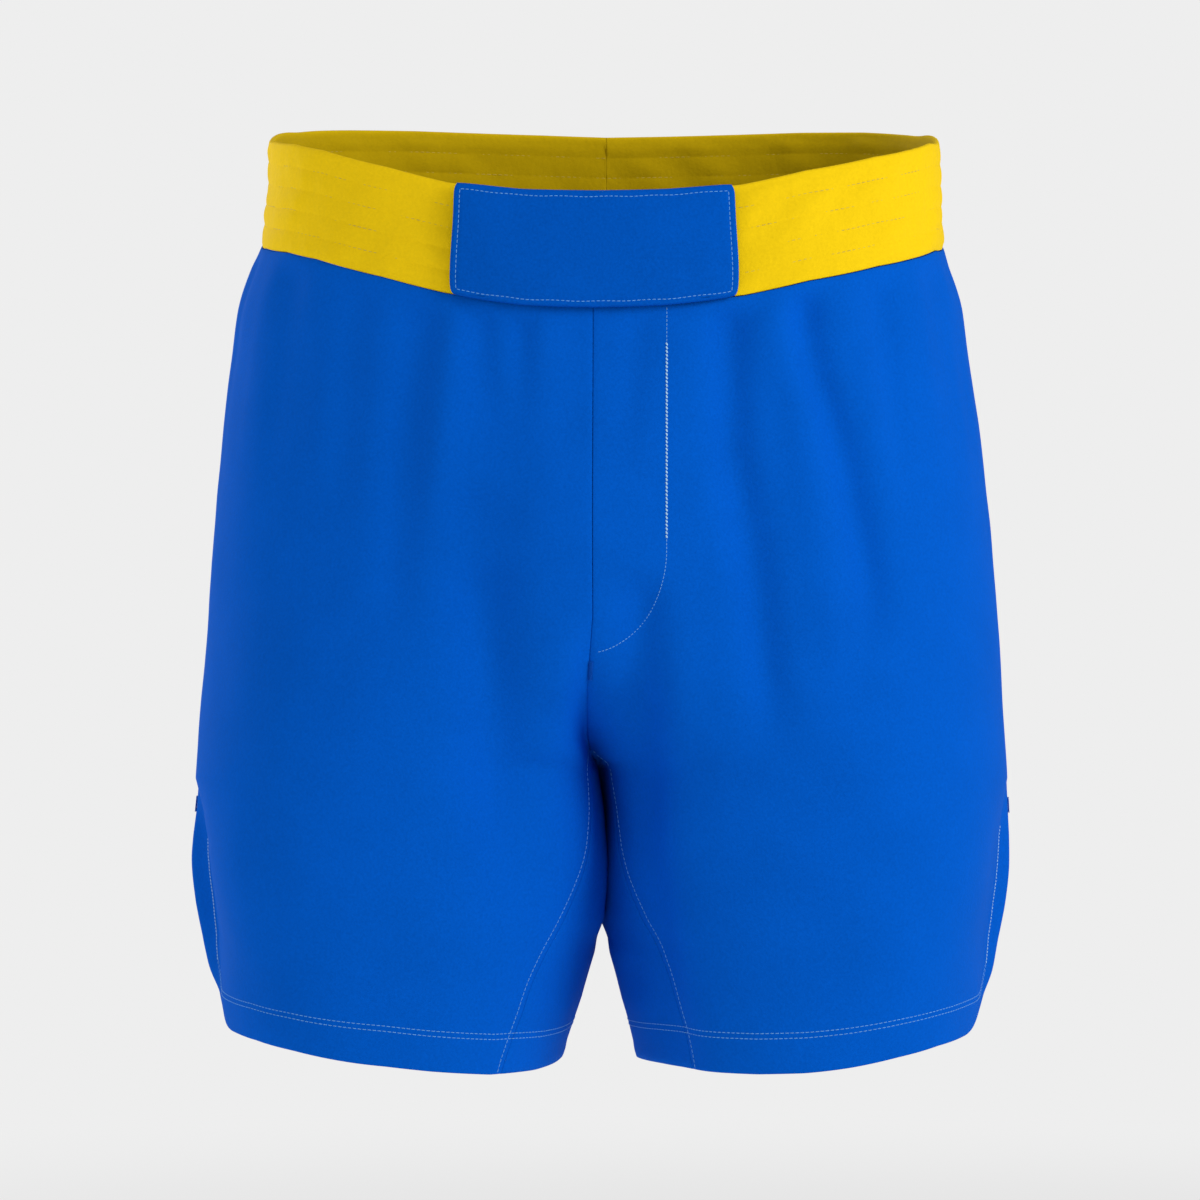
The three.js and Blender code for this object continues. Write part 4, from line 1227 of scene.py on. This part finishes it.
def casing_offset(place):
    """How far the casing stands off the surface: full between the rows, gathered all over."""
    full = channel_puff(place.level)
    edge = smoothstep(place.level, 1.0, 5.0)
    puff = sizes().channel_puff / MM * full
    pucker = sizes().pucker_depth / MM * band_pucker(place) * edge * (0.55 + 0.45 * full)
    return puff + pucker - 0.25 * np.exp(-(((place.level - BAND_HEIGHT) / 1.2) ** 2))


def casing_grid(a, path):
    """The casing's middle and outward direction, along its fold over the top of the elastic.
    path is the distance from the lower edge outside, up over the top and down inside."""
    a, path = np.meshgrid(a, path)
    turn = np.clip((path - CASING_STRAIGHT) / TOP_FOLD_RADIUS, 0, math.pi)
    inside = path - CASING_ARC - CASING_STRAIGHT
    below = TOP_FOLD_RADIUS + np.maximum(inside, 0)
    place = on_band(a, np.where(path < CASING_STRAIGHT, BAND_HEIGHT - path, below))
    depth = -CASING_CLOTH / 2 - TOP_FOLD_RADIUS * (1 - np.cos(turn))
    depth = depth - 2 * (FOLD_RADIUS - TOP_FOLD_RADIUS) * smoothstep(inside, 0, 6)
    normal = unit(place.normal * np.cos(turn)[..., None] + place.up * np.sin(turn)[..., None])
    middle = place.lifted(depth) + place.up * (TOP_FOLD_RADIUS * np.sin(turn))[..., None]
    return middle + normal * casing_offset(place)[..., None], normal


class SHORTS_OT_waistband(Operator):
    """Makes the casing, folded over the wide elastic, and the elastic inside it"""

    bl_idname = "shorts.waistband"
    bl_label = "Waistband"

    def execute(self, context):
        straight = CASING_STRAIGHT
        rows = [k * CHANNEL for k in range(1, STITCH_ROWS + 1)]
        down = spaced(straight, 1.7, marks=[(BAND_HEIGHT - r) / straight for r in rows]) * straight
        over = straight + np.linspace(0, CASING_ARC, 9)[1:-1]
        path = np.concatenate([down, over, straight + CASING_ARC + straight - down[::-1]])
        for half, (low, high) in HALVES:
            middle, normal = casing_grid(lerp(low, high, spaced(BAND_HALF, 2.4)), path)
            t = CASING_CLOTH / 2
            casing = sheet_mesh(
                f"waistband_casing_{half}", middle + normal * t, middle - normal * t, band_cloth(),
            )
            elastic = cloth(
                f"waistband_elastic_{half}_strip", lerp(low, high, spaced(BAND_HALF, 4)),
                np.linspace(*ELASTIC_LEVELS, 14), on_band, -CASING_CLOTH - SEAM_GAP, ELASTIC,
                elastic_material(), free=("north", "south"), lift=unlifted,
            )
            if half == "left":
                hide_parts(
                    "waistband_outer", "waistband_end_outer", "waistband_inner",
                    "waistband_end_inner",
                )
                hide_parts("waistband_elastic", "waistband_end_elastic")
                bend_at_fly(casing)
                bend_at_fly(elastic)
            else:
                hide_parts("waistband_outer", "waistband_inner")
                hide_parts("waistband_elastic")
                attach(casing, "root")
                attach(elastic, "root")
        return {"FINISHED"}


class SHORTS_OT_waistband_stitching(Operator):
    """Makes the rows of stitching that part the waistband into channels"""

    bl_idname = "shorts.waistband_stitching"
    bl_label = "Waistband Stitching"

    def execute(self, context):
        inside = -2 * CASING_CLOTH - ELASTIC - 2 * SEAM_GAP
        for half, (low, high) in HALVES:
            routes = []
            for row in range(1, STITCH_ROWS + 1):
                place = on_band(np.linspace(low, high, 240), row * CHANNEL)
                sunk = 0.30 * soft_noise(place.point, 7.0, 4.4) - 0.10
                for depth, way in ((0.0, 1.0), (inside, -1.0)):
                    point = place.lifted(depth + way * (casing_offset(place) + sunk))
                    normal = place.normal * way
                    routes.append(stitch_route(point, normal, BAND_PITCH, BAND_STITCH_GAP))
            piece = thread_mesh(
                f"waistband_stitching_{half}", *joined_routes(routes), band_thread(),
                "waistband_thread", BAND_THREAD, BAND_THREAD * FLATNESS, 0.2,
            )
            stays = [f"waistband_stitch_{row}" for row in range(1, STITCH_ROWS + 1)]
            folds_open = [f"waistband_end_stitch_{row}" for row in range(1, STITCH_ROWS + 1)]
            if half == "left":
                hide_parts(*stays, *folds_open)
                bend_at_fly(piece)
            else:
                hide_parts(*stays)
                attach(piece, "root")
        return {"FINISHED"}


FLAP_MIDDLE = (BAND_HEIGHT + FLAP_DROP - FLAP_RISE) / 2
FLAP_HALF_HEIGHT = (BAND_HEIGHT + FLAP_DROP + FLAP_RISE) / 2
FLAP_LINING_HEIGHT = 3.0
FLAP_LINING_CLOTH = FLAP_CLOTH - 0.2
FLAP_SHELL_TOP = 5.1
FLAP_INSIDE = 1.4
FLAP_CORNER = 0.026


def flap_place(inset=0.0):
    """Places in the flap for shares of its half width and half height. It widens a little
    downwards and has rounded corners."""

    def place(a, b):
        a, b = np.broadcast_arrays(np.asarray(a, float), np.asarray(b, float))
        half = FLAP_HALF_WIDTH - 0.7 + 1.9 * smoothstep(b, -1, 0.7) - inset
        x = a * half * (1 - FLAP_CORNER * np.abs(b) ** 16)
        drop = 1 + FLAP_CORNER * 0.6 * np.abs(a) ** 16
        level = FLAP_MIDDLE + b * (FLAP_HALF_HEIGHT - inset) * (2 - drop)
        level = level - smoothstep(b, -0.6, 1.0) * (2.5 + 1.5 * a * a)
        return on_front(x, level)

    return place


def flap_lines(length):
    """Shares from -1 to 1 where the shell's grid lines run, close together at its stitching."""
    share = STITCH_INSET / length
    return spaced(length, 1.7, fine=(0.35, 0.8, 1.4, 2.1), marks=(share, 1 - share)) * 2 - 1


def flap_edge(a, b):
    """How far in a place is from the flap's nearest edge, in millimetres."""
    return np.minimum((1 - np.abs(a)) * FLAP_HALF_WIDTH, (1 - np.abs(b)) * FLAP_HALF_HEIGHT)


def flap_shell_lift(grid, a, b):
    """The shell rolls down to the lining at its edges, dips at its stitching and crowns."""
    inside = flap_edge(a, b)
    roll = np.clip(1 - inside / 2.6, 0, 1)
    dip = 0.38 * np.exp(-(((inside - STITCH_INSET) / 0.9) ** 2))
    crown = 1.2 * smoothstep(inside, 2, 20) - 1.3 * smoothstep(b, 0.35, 1.0) ** 2
    soft = 0.45 * soft_noise(grid.point, 19.0, 1.3) * smoothstep(inside, 2, 12)
    return 1.3 - 1.25 * (1 - np.sqrt(1 - roll * roll)) - dip + crown + soft


class SHORTS_OT_closure_flap(Operator):
    """Makes the closure flap: shell, lining, topstitching and hook and loop tape"""

    bl_idname = "shorts.closure_flap"
    bl_label = "Closure Flap"

    def execute(self, context):
        a, b = np.meshgrid(flap_lines(2 * FLAP_HALF_WIDTH), flap_lines(2 * FLAP_HALF_HEIGHT))
        grid = flap_place()(a, b)
        offset = FLAP_SHELL_TOP + flap_shell_lift(grid, a, b)
        shell = sheet_mesh(
            "closure_flap_shell_cloth", grid.lifted(offset), grid.lifted(offset - FLAP_CLOTH),
            flap_cloth(), [FREE_BULGE] * 4,
        )
        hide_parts("closure_flap_shell")
        bend_at_flap(shell)
        a = spaced(2 * FLAP_HALF_WIDTH, 2.2) * 2 - 1
        b = spaced(2 * FLAP_HALF_HEIGHT, 2.2) * 2 - 1
        lining = cloth(
            "closure_flap_lining_cloth", a, b, flap_place(FLAP_INSIDE),
            FLAP_LINING_HEIGHT + FLAP_LINING_CLOTH, FLAP_LINING_CLOTH, body_cloth(),
            free=("south",), lift=unlifted,
        )
        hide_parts("closure_flap_lining")
        bend_at_flap(lining)
        self.topstitch()
        for node in ("flap_hook_tape", "waist_loop_tape"):
            dress(node, tape_material())
        return {"FINISHED"}

    def topstitch(self):
        """Stitches a rectangle inside the flap's edge, a little unevenly"""
        edge_a = 1 - STITCH_INSET / FLAP_HALF_WIDTH
        edge_b = 1 - STITCH_INSET / FLAP_HALF_HEIGHT
        run = np.linspace(-1, 1, 90)
        lines = (
            (run * edge_a, 0 * run - edge_b),
            (0 * run + edge_a, run * edge_b),
            (-run * edge_a, 0 * run + edge_b),
            (0 * run - edge_a, -run * edge_b),
        )
        routes = []
        for a, b in lines:
            wander = 0.006 * np.sin(a * 19 + b * 11) * (np.abs(b) > 0.85)
            line = flap_place()(a, b + wander)
            routes.append((line, flap_shell_lift(line, a, b)))
        piece = stitch_rows("closure_flap_topstitch", routes, hem_thread(), FLAP_SHELL_TOP + 0.08)
        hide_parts("closure_flap_stitch")
        bend_at_flap(piece)


def dress(node, material):
    """Gives a piece of the frame its finish."""
    piece = frame["nodes"][node]
    mesh = piece.data
    if not mesh.uv_layers.get("cut"):
        co = np.empty(len(mesh.vertices) * 3, np.float32)
        mesh.vertices.foreach_get("co", co)
        map_cut(mesh, co.reshape(-1, 3)[:, [0, 2]] / MM)
    mesh.materials.clear()
    mesh.materials.append(material)


class SHORTS_OT_fly(Operator):
    """Makes the fly's facing, shield and tapes behind the front opening"""

    bl_idname = "shorts.fly"
    bl_label = "Fly"

    def execute(self, context):
        top = TOP_LEVEL + FLY_TOP_GAP
        rows = lerp(top, FLY_BOTTOM_LEVEL - FLY_FACING_INSET, spaced(185, GRID))
        columns = spaced(FLY_WIDTH, GRID)
        facing = cloth(
            "fly_facing_cloth", columns, rows,
            lambda a, level: on_front(lerp(FLY_FACING_INSET, fly_width(level), a), level),
            FACING_OUTER, FACING_CLOTH, body_cloth(),
            free=("west", "east", "south"),
        )
        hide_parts("fly_facing_lower", "fly_facing_upper")
        bend_at_fly(facing)
        behind = FACING_OUTER - FACING_CLOTH
        quarter = FLY_SHIELD_WIDTH / 4
        columns = lerp(-quarter, 3 * quarter, spaced(FLY_SHIELD_WIDTH, GRID))
        rows = lerp(top, FLY_SHIELD_BOTTOM, spaced(155, GRID))
        outer = behind - LAYER_GAP - 2 * (TAPE + LAYER_GAP)
        shield = cloth(
            "fly_shield_cloth", columns, rows, on_front, outer, FACING_CLOTH, body_cloth(),
            free=("west", "east", "south"),
        )
        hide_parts("fly_shield")
        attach(shield, "root")
        a = lerp(FLY_FACING_INSET, FLY_FACING_INSET + 16.0, spaced(16.0, GRID))
        b = lerp(TOP_LEVEL + 6.0, TOP_LEVEL + 96.0, spaced(90.0, GRID))
        for name, node, body, outer in (
            ("fly_hook_strip", "fly_hook_tape", "fly_lapel", behind - LAYER_GAP),
            ("fly_loop_strip", "fly_loop_tape", "root", behind - 2 * LAYER_GAP - TAPE),
        ):
            strip = cloth(
                name, a, b, on_front, outer, TAPE, tape_material(),
                free=("south",),
            )
            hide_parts(node)
            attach(strip, body)
        return {"FINISHED"}


class SHORTS_OT_fly_stitching(Operator):
    """Makes the J of topstitching over the fly and the bartack at its foot"""

    bl_idname = "shorts.fly_stitching"
    bl_label = "Fly Stitching"

    def execute(self, context):
        straight = np.linspace(TOP_LEVEL + FLY_TOP_GAP, FLY_STRAIGHT_LEVEL, 80)
        turn = np.sin(np.radians(np.linspace(0, FLY_CURVE_TURN, 60)[1:]))
        level = np.concatenate([straight, lerp(FLY_STRAIGHT_LEVEL, FLY_BOTTOM_LEVEL, turn)])
        first, last = 10, 75
        bold, upper, curve = (
            on_front(fly_width(part), part)
            for part in (level[first : last + 1], level[: first + 1], level[last:])
        )
        for name, lines, thread, lift, slant, width in (
            ("fly_topstitch", [bold], body_thread(), 0.18, 0.7, 0.85),
            ("fly_topstitch_ends", [upper, curve], hem_thread(), 0.05, 0.0, None),
        ):
            routes = [(line, drape(line)) for line in lines]
            piece = stitch_rows(name, routes, thread, lift, 1.8, slant, width)
            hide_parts("fly_stitch_lower", "fly_stitch_upper")
            bend_at_fly(piece)
        foot = FLY_BOTTOM_LEVEL + 4.0
        bar = on_front(np.full(3, 1.0), np.linspace(foot, foot + BARTACK_LENGTH, 3))
        tack = bartack("fly_tack", bar)
        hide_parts("fly_bartack")
        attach(tack, "root")
        return {"FINISHED"}


def hem_line_half(rise):
    """Half of a row round a leg: shares round its vent's corner and along the hem."""
    v, u = HEM_LINE - rise / PANEL_HEIGHT, VENT_FACING_LINE
    turn = np.linspace(0, math.pi / 2, 14)
    radius_u, radius_v = 0.045 + rise * 0.004, 0.032 + rise * 0.003
    corner = np.stack([u - radius_u * (1 - np.cos(turn)), v - radius_v * (1 - np.sin(turn))], -1)
    along = np.linspace(corner[-1, 0], 0, 90)[1:]
    return np.concatenate([corner, np.stack([along, np.full(len(along), v)], -1)])


def joined(places):
    """One place from several along a line."""
    whole = places[0]
    for key in ("side", "level", "angle", "point", "normal", "up"):
        setattr(whole, key, np.concatenate([getattr(p, key) for p in places]))
    return whole


class SHORTS_OT_hem_stitching(Operator):
    """Makes the two rows round each hem, the row up each vent and the bartack over it"""

    bl_idname = "shorts.hem_stitching"
    bl_label = "Hem and Vent Stitching"

    def execute(self, context):
        for side_name, side in SIDES:
            for kind, node, rise in (
                ("hem_lower_row", f"hem_and_vent_stitch_{side_name}", 0.0),
                ("hem_upper_row", f"hem_upper_stitch_{side_name}", NEEDLE_SPACING),
            ):
                half = hem_line_half(rise)
                t = (HEM_LINE - rise / PANEL_HEIGHT - GUSSET_LINE) / (1 - GUSSET_LINE)
                across = np.linspace(-1, 1, 60)[1:-1]
                line = joined(
                    [
                        on_panel(side, -1.0)(half[:, 0], half[:, 1]),
                        on_gusset(across, np.full(len(across), side * t)),
                        on_panel(side, 1.0)(half[::-1, 0], half[::-1, 1]),
                    ]
                )
                routes = [(line, drape(line))]
                piece = stitch_rows(f"{kind}_{side_name}", routes, hem_thread(), 0.1)
                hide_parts(node)
                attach(piece, "root")
            foot = hem_line_half(0.0)[0, 1]
            routes = []
            for _, facing in FACINGS:
                line = on_panel(side, facing)(VENT_FACING_LINE, np.linspace(VENT_LINE, foot, 60))
                routes.append((line, drape(line)))
            piece = stitch_rows(
                f"vent_row_{side_name}", routes, body_thread(), 0.12, 1.7, 0.35, 0.7
            )
            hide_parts(f"hem_and_vent_stitch_{side_name}")
            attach(piece, "root")
            level = np.linspace(VENT_LEVEL - BARTACK_LENGTH, VENT_LEVEL - 1, 3)
            tack = bartack(f"vent_tack_{side_name}", Place(side, level, 0.0))
            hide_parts(f"vent_bartack_{side_name}")
            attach(tack, "root")
        return {"FINISHED"}


class SHORTS_OT_gusset_stitching(Operator):
    """Makes the row of stitching beside each gusset seam"""

    bl_idname = "shorts.gusset_stitching"
    bl_label = "Gusset Stitching"

    def execute(self, context):
        v = np.linspace(GUSSET_LINE, 0.9985, 90)
        u = np.full(len(v), GUSSET_STITCH_LINE)
        for side_name, side in SIDES:
            for facing_name, facing in FACINGS:
                line = on_panel(side, facing)(u, v)
                routes = [(line, drape(line))]
                name = f"{facing_name}_{side_name}"
                piece = stitch_rows(f"gusset_row_{name}", routes, hem_thread(), 0.1)
                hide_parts(f"gusset_stitch_{name}")
                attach(piece, "root")
        return {"FINISHED"}


# ---- The stage -------------------------------------------------------------------------------


# The camera: how far away, how far below the middle, how far round, and the width it shows.
CAMERA_DISTANCE = 2.2
CAMERA_DROP = 0.008
CAMERA_TURN = math.radians(1.7)
CAMERA_FIELD = 0.6
SENSOR = 36
# Each light's name, place, size and power.
LIGHTS = (
    ("key", (2.05, -1.35, 0.75), 1.2, 34),
    ("fill", (-2.2, -0.7, 0.1), 1.6, 8),
    ("back", (-1.9, 1.6, 0.8), 1.2, 16),
)
AMBIENT = 0.4
# The floor: how far below the hem, and the radii and sides of its rings.
FLOOR_DROP = 0.25
FLOOR_RADII = (0, 0.8, 1.6, 3, 6, 12, 30)
FLOOR_SIDES = 96
# How much of the floor glows, from near the middle outwards.
GLOW_RADII = (0.9, 2.0)
GLOW = (0.55, 1.0)


def add_light(name, place, target, size, energy):
    light = bpy.data.lights.new(name, "AREA")
    light.shape = "DISK"
    light.size, light.energy = size, energy
    lamp = bpy.data.objects.new(name, light)
    lamp.location = place
    lamp.rotation_euler = (Vector(target) - Vector(place)).to_track_quat("-Z", "Y").to_euler()
    bpy.context.scene.collection.objects.link(lamp)


def mix_shaders(tree, out, factor, first, second):
    mix = tree.nodes.new("ShaderNodeMixShader")
    for k, value in enumerate((factor, first, second)):
        tree.links.new(value, mix.inputs[k])
    tree.links.new(mix.outputs[0], out.inputs[0])


def floor_mesh(height):
    """A wide round disc."""
    verts = [(0, 0, height)]
    for radius in FLOOR_RADII[1:]:
        for k in range(FLOOR_SIDES):
            angle = 2 * math.pi * k / FLOOR_SIDES
            verts.append((radius * math.cos(angle), radius * math.sin(angle), height))
    around = [(k, (k + 1) % FLOOR_SIDES) for k in range(FLOOR_SIDES)]
    faces = [(0, 1 + k, 1 + after) for k, after in around]
    for r in range(len(FLOOR_RADII) - 2):
        inner, outer = 1 + r * FLOOR_SIDES, 1 + (r + 1) * FLOOR_SIDES
        faces += [(inner + k, outer + k, outer + after, inner + after) for k, after in around]
    mesh = bpy.data.meshes.new("studio_floor")
    mesh.from_pydata(verts, [], faces)
    return mesh


class SHORTS_OT_stage(Operator):
    """Makes the floor, the lights and the camera"""

    bl_idname = "shorts.stage"
    bl_label = "Stage"

    def execute(self, context):
        scene = context.scene
        scene.view_settings.view_transform = "Standard"
        low, high = FRAME_BOX
        middle = (low + high) / 2
        camera = bpy.data.cameras.new("camera")
        camera.sensor_width = SENSOR
        camera.lens = SENSOR * CAMERA_DISTANCE / CAMERA_FIELD
        viewer = bpy.data.objects.new("camera", camera)
        viewer.location = (
            CAMERA_DISTANCE * math.sin(CAMERA_TURN),
            -CAMERA_DISTANCE * math.cos(CAMERA_TURN),
            middle.z - CAMERA_DROP,
        )
        viewer.rotation_euler = (math.pi / 2, 0, CAMERA_TURN)
        scene.collection.objects.link(viewer)
        scene.camera = viewer
        for name, place, size, energy in LIGHTS:
            add_light(name, place, middle, size, energy)
        scene.world = self.studio()
        self.add_floor(low.z - FLOOR_DROP)
        return {"FINISHED"}

    def studio(self):
        """A world that is white to the cloth and the backdrop's colour to the camera"""
        world = bpy.data.worlds.new("studio")
        world.use_nodes = True
        tree = world.node_tree
        tree.nodes.clear()
        out = tree.nodes.new("ShaderNodeOutputWorld")
        seen = tree.nodes.new("ShaderNodeBackground")
        seen.inputs["Color"].default_value = (*colours().backdrop, 1)
        lit = tree.nodes.new("ShaderNodeBackground")
        lit.inputs["Color"].default_value = (1, 1, 1, 1)
        lit.inputs["Strength"].default_value = AMBIENT
        path = tree.nodes.new("ShaderNodeLightPath")
        mix_shaders(tree, out, path.outputs["Is Camera Ray"], lit.outputs[0], seen.outputs[0])
        return world

    def add_floor(self, height):
        mesh = floor_mesh(height)
        floor = bpy.data.objects.new("studio_floor", mesh)
        bpy.context.scene.collection.objects.link(floor)
        material = bpy.data.materials.new("pale_floor")
        material.use_nodes = True
        tree = material.node_tree
        tree.nodes.clear()
        out = tree.nodes.new("ShaderNodeOutputMaterial")
        glow, matt = tree.nodes.new("ShaderNodeEmission"), tree.nodes.new("ShaderNodeBsdfDiffuse")
        for shader in (glow, matt):
            shader.inputs["Color"].default_value = (*colours().backdrop, 1)
        body = tree.nodes.new("ShaderNodeTexCoord")
        radial = tree.nodes.new("ShaderNodeVectorMath")
        radial.operation = "LENGTH"
        tree.links.new(body.outputs["Object"], radial.inputs[0])
        fade = tree.nodes.new("ShaderNodeMapRange")
        fade.interpolation_type = "SMOOTHSTEP"
        for label, value in zip(
            ("From Min", "From Max", "To Min", "To Max"), (*GLOW_RADII, *GLOW), strict=True
        ):
            fade.inputs[label].default_value = value
        tree.links.new(radial.outputs["Value"], fade.inputs["Value"])
        mix_shaders(tree, out, fade.outputs[0], matt.outputs[0], glow.outputs[0])
        mesh.materials.append(material)


# ---- Settings, panel and registering -----------------------------------------------------------


def length_property(name, description, default):
    return FloatProperty(
        name=name, description=description, default=default, min=0, unit="LENGTH", precision=5
    )


def colour_property(name, description, default):
    return FloatVectorProperty(
        name=name, description=description, default=default, size=3, min=0, max=1, subtype="COLOR"
    )


class ShortsSizes(PropertyGroup):
    stitch_length: length_property("Stitch Length", "Length of a stitch and its gap", 0.0024)
    stitch_gap: length_property("Stitch Gap", "Gap between two stitches", 0.0003)
    thread_width: length_property("Thread Width", "Width of the body's sewing thread", 0.00038)
    seam_dip: length_property("Seam Dip", "How deep the cloth dips at a seam", 0.0003)
    channel_puff: length_property("Channel Puff", "How full the channels stand", 0.00045)
    pucker_depth: length_property("Pucker Depth", "How deep the waistband puckers", 0.0014)
    gather_depth: length_property("Gather Depth", "How deep the body gathers at its top", 0.0017)
    fold_depth: FloatProperty(
        name="Fold Depth", description="How deep the soft folds are", default=1.0, min=0,
        subtype="FACTOR",
    )


class ShortsColours(PropertyGroup):
    body: colour_property("Body", "Colour of the body cloth", (0.001, 0.104, 0.585))
    waistband: colour_property("Waistband", "Colour of the waistband casing", (0.92, 0.62, 0.007))
    body_thread: colour_property("Body Thread", "Colour of the bold stitching", (0.40, 0.66, 0.95))
    hem_thread: colour_property("Hem Thread", "Colour of the fine stitching", (0.15, 0.40, 0.80))
    tack_thread: colour_property("Tack Thread", "Colour of the bartacks", (0.004, 0.09, 0.5))
    waistband_thread: colour_property(
        "Waistband Thread", "Colour of the waistband's stitching", (0.62, 0.47, 0.07)
    )
    elastic: colour_property("Elastic", "Colour of the elastic", (0.72, 0.70, 0.62))
    tape: colour_property("Tape", "Colour of the hook and loop tape", (0.004, 0.045, 0.28))
    backdrop: colour_property(
        "Backdrop", "Colour of the floor and the space round it", (0.855, 0.855, 0.855)
    )


OPERATORS = (
    SHORTS_OT_panels,
    SHORTS_OT_gusset,
    SHORTS_OT_hem_facings,
    SHORTS_OT_waistband,
    SHORTS_OT_waistband_stitching,
    SHORTS_OT_closure_flap,
    SHORTS_OT_fly,
    SHORTS_OT_fly_stitching,
    SHORTS_OT_hem_stitching,
    SHORTS_OT_gusset_stitching,
    SHORTS_OT_stage,
)


class SHORTS_PT_tools(Panel):
    """Lists what makes the shorts"""

    bl_idname = "SHORTS_PT_tools"
    bl_label = "Boxing Shorts"
    bl_space_type = "VIEW_3D"
    bl_region_type = "UI"
    bl_category = "Shorts"

    def draw(self, context):
        for group in (context.scene.shorts_sizes, context.scene.shorts_colours):
            box = self.layout.box()
            for key in group.__annotations__:
                box.prop(group, key)
        for operator in OPERATORS:
            self.layout.operator(operator.bl_idname)


CLASSES = (ShortsSizes, ShortsColours, *OPERATORS, SHORTS_PT_tools)


def register():
    for cls in CLASSES:
        bpy.utils.register_class(cls)
    bpy.types.Scene.shorts_sizes = PointerProperty(type=ShortsSizes)
    bpy.types.Scene.shorts_colours = PointerProperty(type=ShortsColours)


def unregister():
    del bpy.types.Scene.shorts_colours
    del bpy.types.Scene.shorts_sizes
    for cls in reversed(CLASSES):
        bpy.utils.unregister_class(cls)


def main():
    register()
    for operator in OPERATORS:
        module, name = operator.bl_idname.split(".")
        getattr(getattr(bpy.ops, module), name)()


if __name__ == "__main__":
    main()
